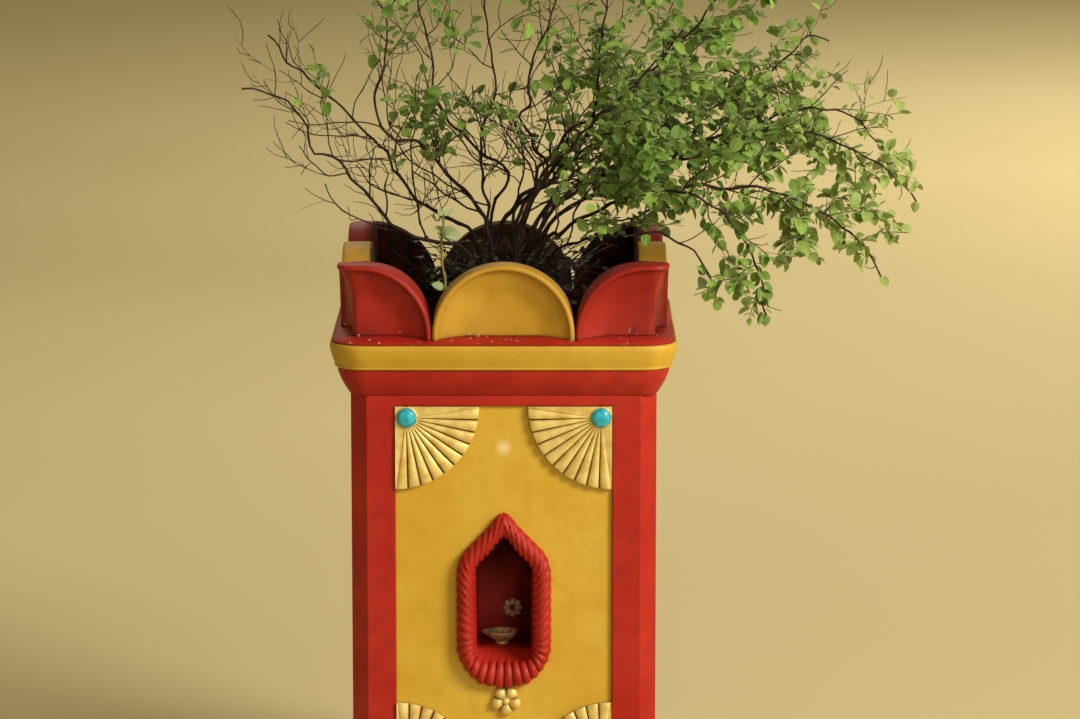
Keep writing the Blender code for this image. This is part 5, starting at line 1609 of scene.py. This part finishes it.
def basil_leaf(name, deep, fresh, pale):
    """A living leaf, soft and finely haired: satin, a little light let through, pale veins and underside."""
    made, tree, shader, place = new_material(name)
    tint, outer, dry = (add(tree, "ShaderNodeAttribute", None, "Fac", attribute_name=key)
                        for key in ("tint", "outer", "dry"))
    spot = add(tree, "ShaderNodeAttribute", None, "Vector", attribute_name="blade")
    blotch = add(tree, "ShaderNodeTexNoise", {"Vector": place, "Scale": marks(7), "Detail": 2.0})

    # The midrib runs up the middle and the side veins leave it slantwise
    on_blade = add(tree, "ShaderNodeSeparateXYZ", {0: spot}, None)
    aside = add(tree, "ShaderNodeMath", {0: on_blade.outputs["X"]}, operation="ABSOLUTE")
    midrib = add(tree, "ShaderNodeMapRange", {0: aside, 1: 0.12, 2: 0.02, 4: 0.55})
    along = add(tree, "ShaderNodeMath", {0: on_blade.outputs["Y"], 1: VEIN_PAIRS}, operation="MULTIPLY")
    slant = add(tree, "ShaderNodeMath", {0: aside, 1: -2.2, 2: along}, operation="MULTIPLY_ADD")
    comb = add(tree, "ShaderNodeMath", {0: slant, 1: 1.0}, operation="PINGPONG")
    side_veins = add(tree, "ShaderNodeMapRange", {0: comb, 1: 0.12, 2: 0.0, 4: 0.30})
    veins = add(tree, "ShaderNodeMath", {0: midrib, 1: side_veins}, operation="MAXIMUM")

    # Paler blotches, painted light that makes the leaves paler towards the far right end, paler veins and underside,
    # and brown where it has dried
    normal = add(tree, "ShaderNodeNewGeometry", None, "Normal")
    facing = add(tree, "ShaderNodeSeparateXYZ", {0: normal}, "Z")
    colour = coats(tree, linear(deep), ((tint, fresh), (blotch, pale, 0.50, 0.80, 0.40), (outer, pale),
                                        (veins, VEIN), (facing, UNDERSIDE, 0.0, -0.6, 0.30), (dry, DRIED)))
    shine = add(tree, "ShaderNodeMapRange", {0: blotch, 1: 0.3, 2: 0.7, 3: 0.50, 4: 0.68})
    relief = add(tree, "ShaderNodeBump", {"Strength": 0.5, "Distance": 0.0004, "Height": veins})
    join(shader, {"Base Color": colour, "Roughness": shine, "Normal": relief, "Specular IOR Level": 0.35,
                  "Sheen Weight": 0.10, "Subsurface Weight": 0.15, "Subsurface Radius": (0.4, 1.0, 0.2),
                  "Subsurface Scale": 0.004})
    return made


bark = basil_bark("basil bark", "1f1213", "463331")
foliage = basil_leaf("basil leaf", "456d1d", "83aa3d", "a9be6a")
shoot_bark = basil_bark("young green stalk", "6f6a26", "a8a250")
shoot_leaf = basil_leaf("young basil leaf", "8ea66a", "b3c795", "c2d0a4")
print("finishes of the plant:", bark.name, "/", foliage.name)


# %% [markdown]
# One Geometry Nodes tree dresses every stem. It is fed a skeleton: chains of edges for the wood, each point
# with its radius, and loose points for the leaves, each with its turn, size and kind. The tree sweeps a
# circle along the chains, sets a leaf on each loose point and picks a tint for it from a fixed seed.
# Curves with a bevel could carry the wood too, but not the leaves, and one tree keeps both together.

# %% Geometry Nodes tree of a leafy stem
TREE_INPUTS = (("Geometry", "Geometry"), ("Stem sides", "Int"), ("Leaf size", "Float"), ("Tint seed", "Int"),
               ("Leaf shapes", "Collection"), ("Bark", "Material"), ("Foliage", "Material"))


def leafy_stem_tree():
    """The tree: its named inputs, the wood, the leaves with their tints, and the finishes."""
    tree = bpy.data.node_groups.new("leafy stem", "GeometryNodeTree")
    for label, kind in TREE_INPUTS:
        tree.interface.new_socket(label, in_out="INPUT", socket_type="NodeSocket" + kind)
    tree.interface.new_socket("Geometry", in_out="OUTPUT", socket_type="NodeSocketGeometry")
    given = add(tree, "NodeGroupInput", None, None).outputs
    is_leaf, radius, size, light, kind, angles = (
        add(tree, "GeometryNodeInputNamedAttribute", {"Name": name}, data_type=form)
        for name, form in (("is_leaf", "BOOLEAN"), ("radius", "FLOAT"), ("size", "FLOAT"), ("light", "FLOAT"),
                           ("kind", "INT"), ("turn", "FLOAT_VECTOR")))

    # The wood: chains of edges swept with a circle
    parts = add(tree, "GeometryNodeSeparateGeometry", {0: given["Geometry"], "Selection": is_leaf}, None,
                domain="POINT")
    chains = add(tree, "GeometryNodeMeshToCurve", {0: parts.outputs["Inverted"]})
    circle = add(tree, "GeometryNodeCurvePrimitiveCircle", {"Resolution": given["Stem sides"], "Radius": 1.0})
    swept = add(tree, "GeometryNodeCurveToMesh", {"Curve": chains, "Profile Curve": circle, "Scale": radius,
                                                  "Fill Caps": True})
    wood = add(tree, "GeometryNodeSetShadeSmooth", {0: swept})

    # The leaves: one of the shapes on each loose point
    size = add(tree, "ShaderNodeMath", {0: size, 1: given["Leaf size"]}, operation="MULTIPLY")
    turn = add(tree, "FunctionNodeEulerToRotation", {0: angles})
    shapes = add(tree, "GeometryNodeCollectionInfo",
                 {"Collection": given["Leaf shapes"], "Separate Children": True, "Reset Children": True})
    leaves_set = add(tree, "GeometryNodeInstanceOnPoints",
                     {"Points": parts.outputs["Selection"], "Instance": shapes, "Pick Instance": True,
                      "Instance Index": kind, "Rotation": turn, "Scale": size})

    # Their tint: chance, held down where a leaf is marked as shaded
    chance = add(tree, "FunctionNodeRandomValue", {"Seed": given["Tint seed"]}, 1, data_type="FLOAT")
    tint = add(tree, "ShaderNodeMath", {0: chance, 1: light}, operation="MULTIPLY")
    leaves_set = add(tree, "GeometryNodeStoreNamedAttribute", {0: leaves_set, "Name": "tint", "Value": tint},
                     data_type="FLOAT", domain="INSTANCE")

    # Both joined, made real and given their finishes
    joined = add(tree, "GeometryNodeJoinGeometry", None, None)
    tree.links.new(wood, joined.inputs[0])
    tree.links.new(leaves_set, joined.inputs[0])
    real = add(tree, "GeometryNodeRealizeInstances", {0: joined.outputs[0]})
    clothed = add(tree, "GeometryNodeSetMaterial", {0: real, "Material": given["Bark"]})
    on_leaf = add(tree, "FunctionNodeCompare", {0: size, 1: 0.0}, data_type="FLOAT", operation="GREATER_THAN")
    dressed = add(tree, "GeometryNodeSetMaterial", {0: clothed, "Selection": on_leaf, "Material": given["Foliage"]})
    add(tree, "NodeGroupOutput", {0: dressed}, None)
    return tree


stem_tree = leafy_stem_tree()
print("tree:", stem_tree.name, "with", len(stem_tree.nodes), "nodes")


# %% [markdown]
# Real basil wood is knotty. All of it is bent by one gentle noise field, so what meets at a joint moves
# together and stays joined, and the joints themselves are a little swollen.

# %% Knots and joints
SWELLING = 1.22
KNOTTINESS = 0.0046
KNOT_SPACING = 0.027
KNOTS_FROM = 0.70
KNOTS_RISE = 0.10
# how far apart the three noises lie that bend along x, y and z
KNOT_SHIFTS = (Vector((0.0, 0.0, 0.0)), Vector((31.4, 12.7, 5.1)), Vector((7.3, 44.6, 21.9)))


def knotty(point):
    """The point bent with the wood round it; nothing moves near the soil."""
    rise = clamp((point.z - KNOTS_FROM) / KNOTS_RISE)
    bend = Vector([noise.noise(point / KNOT_SPACING + shift) for shift in KNOT_SHIFTS])
    return point + bend * (KNOTTINESS * rise)


def jointed(branch):
    """The branch's points and radii, swollen at the joints, with a point between each two of a thick one."""
    path = branch.points
    radii = [radius * (SWELLING if index and index % 2 == 0 else 1.0) for index, radius in enumerate(branch.radii)]
    if branch.level > 1:
        return path, radii
    ends = [path[0] * 2 - path[1], *path, path[-1] * 2 - path[-2]]
    points = []
    thick = []
    for index, (a, b, c, d) in enumerate(zip(ends, ends[1:], ends[2:], ends[3:])):
        # halfway on the smooth curve through all four
        points += [b, (b + c) * 0.5625 - (a + d) * 0.0625]
        thick += [radii[index], (branch.radii[index] + branch.radii[index + 1]) / 2]
    return points + [path[-1]], thick + [radii[-1]]


most_bent = max((knotty(point) - point).length for branch in branches for point in branch.points)
print("the knots bend the wood by up to", round(most_bent * 1000, 1), "mm")


# %% [markdown]
# The skeleton of each stem is written as a mesh, with its wood as edges and its leaves as loose points. A
# leaf's turn comes from where it points and which way its face looks.

# %% Skeletons
# how green the wood of each level is
YOUNG_WOOD = (0.0, 0.20, 0.45, 0.65, 0.25)
# one leaf in this many has dried, and one old leaf in this many hasn't
DRIED_ONE_IN = 37
LIVING_ONE_IN = 9


def leaf_turn(leaf):
    """The turn that lays a leaf along its heading with its face up."""
    side = leaf.heading.cross(leaf.face).normalized()
    up = side.cross(leaf.heading).normalized()
    return tuple(Matrix((side, leaf.heading, up)).transposed().to_euler())


def skeleton(name, wood, blades):
    """Chains of edges for the wood and loose points for the leaves, with the values that the tree reads."""
    points = []
    edges = []
    radii = []
    young = []
    for branch in wood:
        path, thick = jointed(branch)
        start = len(points)
        for index, (point, radius) in enumerate(zip(path, thick)):
            points.append(knotty(point))
            radii.append(radius)
            young.append(leafiness(point) * YOUNG_WOOD[branch.level] * (0.4 + 0.6 * index / len(path)))
        edges += [(index, index + 1) for index in range(start, len(points) - 1)]
    bare = len(points)
    points += [knotty(leaf.seat) for leaf in blades]
    leafy = len(blades)
    dry = [1.0 if leaf.branch < 0 and index % LIVING_ONE_IN else 0.8 * (index % DRIED_ONE_IN == DRIED_ONE_IN - 1)
           for index, leaf in enumerate(blades)]
    values = {
        ("radius", "FLOAT"): radii + [0.0] * leafy,
        ("young", "FLOAT"): young + [0.0] * leafy,
        ("size", "FLOAT"): [0.0] * bare + [leaf.length * (0.80 + 0.25 * clump(leaf.seat)) for leaf in blades],
        ("light", "FLOAT"): [0.0] * bare + [0.4 + 0.6 * leaf.rank for leaf in blades],
        ("dry", "FLOAT"): [0.0] * bare + dry,
        # painted light: the leaves grow paler towards the far right end of the bush
        ("outer", "FLOAT"): [0.0] * bare + [0.6 * outward(leaf.seat) for leaf in blades],
        ("is_leaf", "BOOLEAN"): [False] * bare + [True] * leafy,
        ("kind", "INT"): [0] * bare + [index % 3 for index in range(leafy)],
        ("turn", "FLOAT_VECTOR"): [0.0] * 3 * bare + [angle for leaf in blades for angle in leaf_turn(leaf)],
    }
    mesh = bpy.data.meshes.new(name)
    mesh.from_pydata([tuple(point) for point in points], edges, [])
    for (key, kind), numbers in values.items():
        slot = "vector" if kind == "FLOAT_VECTOR" else "value"
        mesh.attributes.new(key, kind, "POINT").data.foreach_set(slot, numbers)
    made = bpy.data.objects.new(name, mesh)
    bpy.context.scene.collection.objects.link(made)
    return made


every_branch = branches + fine_twigs + dead_twigs
every_leaf = leaves + new_leaves + dead_leaves
print("branches and twigs:", len(every_branch), "leaves:", len(every_leaf))


# %% [markdown]
# The tree now runs on the sixteen skeletons one after another. What it makes is kept as a plain mesh, and only
# the values that the finishes read stay on it.

# %% Dress the stems
LEAF_SCALE = 0.90


def dress(made, values):
    """Runs the tree on a skeleton and keeps the result as a plain mesh."""
    modifier = made.modifiers.new("leafy stem", "NODES")
    modifier.node_group = stem_tree
    for socket in stem_tree.interface.items_tree:
        if socket.in_out == "INPUT" and socket.name in values:
            modifier[socket.identifier] = values[socket.name]
    graph = bpy.context.evaluated_depsgraph_get()
    plain = bpy.data.meshes.new_from_object(made.evaluated_get(graph))
    made.modifiers.clear()
    made.data = plain
    for name in ("radius", "size", "light", "is_leaf", "kind", "turn"):
        if name in plain.attributes:
            plain.attributes.remove(plain.attributes[name])
    return sum(len(face.vertices) - 2 for face in plain.polygons)


triangles = {}
for stem, (name, *_) in enumerate(STEMS):
    wood = [branch for branch in every_branch if branch.stem == stem]
    blades = [leaf for leaf in every_leaf if leaf.stem == stem]
    made = skeleton(name + "_dressed", wood, blades)
    triangles[name] = dress(made, {"Stem sides": 6, "Leaf size": LEAF_SCALE, "Tint seed": PLANT_SEED + stem,
                                   "Leaf shapes": leaf_kinds, "Bark": bark, "Foliage": foliage})
    stand_for(made, name)
print("triangles of the stems:", sum(triangles.values()), "the largest:", max(triangles.values()))


# %% [markdown]
# The young green stalk at the left comes from the same tree, with its own paler finishes.

# %% Green shoot
# joint, where it points, length
SHOOT_LEAVES = ((9, (0.92, -0.35, -0.05), 0.030), (9, (0.70, -0.50, 0.55), 0.021), (9, (0.75, -0.4, -0.6), 0.017),
                (9, (-0.5, 0.5, 0.6), 0.018), (5, (-0.7, -0.4, 0.5), 0.020),
                (20, (-0.4, -0.3, 0.8), 0.016), (20, (0.6, 0.2, 0.7), 0.020))


def shoot_leaves(stalk):
    """A cluster of leaves low on the stalk and a small tuft at its tip."""
    found = []
    for index, heading, length in SHOOT_LEAVES:
        seat = stalk.points[min(index, len(stalk.points) - 1)]
        face = UP + Vector((0.2, -1.4, 0.0))
        found.append(Leaf(stalk.stem, 0, seat, Vector(heading).normalized(), face, length, 1.0))
    return found


name, radius, seat, spine = SHOOT
path = main_path(random.Random(PLANT_SEED + 1), seat, spine)
stalk = Branch(len(STEMS), 0, path, taper(radius / 1000, SHOOT_TIP, len(path)))
shoot = skeleton(name + "_dressed", [stalk], shoot_leaves(stalk))
faces_now = dress(shoot, {"Stem sides": 8, "Leaf size": 1.0, "Tint seed": PLANT_SEED, "Leaf shapes": leaf_kinds,
                          "Bark": shoot_bark, "Foliage": shoot_leaf})
stand_for(shoot, name)
for made in list(leaf_kinds.objects):
    bpy.data.objects.remove(made)
bpy.data.collections.remove(leaf_kinds)
print("green shoot:", faces_now, "triangles")


# %% [markdown]
# A wide pale floor, a large soft light high at the right and a plain pale world make the studio. The left
# side stays in the shade, as in the photograph. A fourth light only brightens the floor far behind.

# %% Floor and lights
FLOOR_HALF = 60.0


def floor():
    """Matt screed with faint clouds, far wider than the view."""
    made, tree, shader, place = new_material("pale studio floor")
    cloud = add(tree, "ShaderNodeTexNoise", {"Vector": place, "Scale": marks(1600), "Detail": 1.0})
    colour = coats(tree, linear("cbbd90"), [(cloud, "d3c69c")])
    join(shader, {"Base Color": colour, "Roughness": 0.9, "Specular IOR Level": 0.1})
    mesh = bpy.data.meshes.new("floor")
    mesh.from_pydata([turned((FLOOR_HALF, FLOOR_HALF, 0.0), quarter) for quarter in range(4)], [], [(0, 1, 2, 3)])
    mesh.materials.append(made)
    flat = bpy.data.objects.new("floor", mesh)
    bpy.context.scene.collection.objects.link(flat)
    flat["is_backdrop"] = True


def soft_light(name, place, target, size, watts, code, spread=180.0):
    """A square soft light; a narrower spread in degrees keeps its glow off what lies beside its aim."""
    lamp = bpy.data.lights.new(name, "AREA")
    lamp.spread = math.radians(spread)
    lamp.shape = "SQUARE"
    lamp.size = size
    lamp.energy = watts
    lamp.color = linear(code)[:3]
    made = bpy.data.objects.new(name, lamp)
    bpy.context.scene.collection.objects.link(made)
    made.location = place
    made.rotation_euler = (Vector(target) - Vector(place)).to_track_quat("-Z", "Y").to_euler()


floor()
soft_light("key", (4.2, -3.2, 3.4), (0.0, 0.0, 0.7), 1.8, 166.0, "fff4e2", 120.0)
soft_light("fill", (1.9, -5.0, 1.7), (0.0, 0.0, 0.5), 2.0, 34.0, "fff3e0")
soft_light("back", (-0.2, 3.6, 2.8), (0.0, 0.0, 0.8), 2.0, 22.0, "fff6ea")
soft_light("far floor", (4.0, 6.8, 5.2), (4.0, 6.8, 0.0), 5.0, 250.0, "fff4e2", 120.0)

world = bpy.data.worlds.new("studio")
world.use_nodes = True
join(world.node_tree.nodes["Background"], {"Color": linear("e9dcae"), "Strength": 0.43})
bpy.context.scene.world = world
bpy.context.scene.view_settings.view_transform = "Standard"
print("lights:", [made.name for made in bpy.context.scene.objects if made.type == "LIGHT"])


# %% [markdown]
# The camera stands well back with a long lens and looks down a little, as the photographer did.

# %% Camera
camera = bpy.data.objects.new("camera", bpy.data.cameras.new("camera"))
bpy.context.scene.collection.objects.link(camera)
camera.location = (0.0456, -5.612, 1.5926)
camera.rotation_euler = (math.radians(80.3), 0.0, 0.0)
camera.data.lens = 146.7
camera.data.sensor_width = 36.0
camera.data.clip_end = 200.0
bpy.context.scene.camera = camera
print("camera", tuple(round(value, 3) for value in camera.location))


# %% [markdown]
# Last, the sizes of the solid model and of the dressed one are printed side by side.

# %% Sizes and finish
seen_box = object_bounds()
for axis, label in enumerate("xyz"):
    print(label, "solid", round(cad_box[0][axis], 4), round(cad_box[1][axis], 4),
          "dressed", round(seen_box[0][axis], 4), round(seen_box[1][axis], 4))
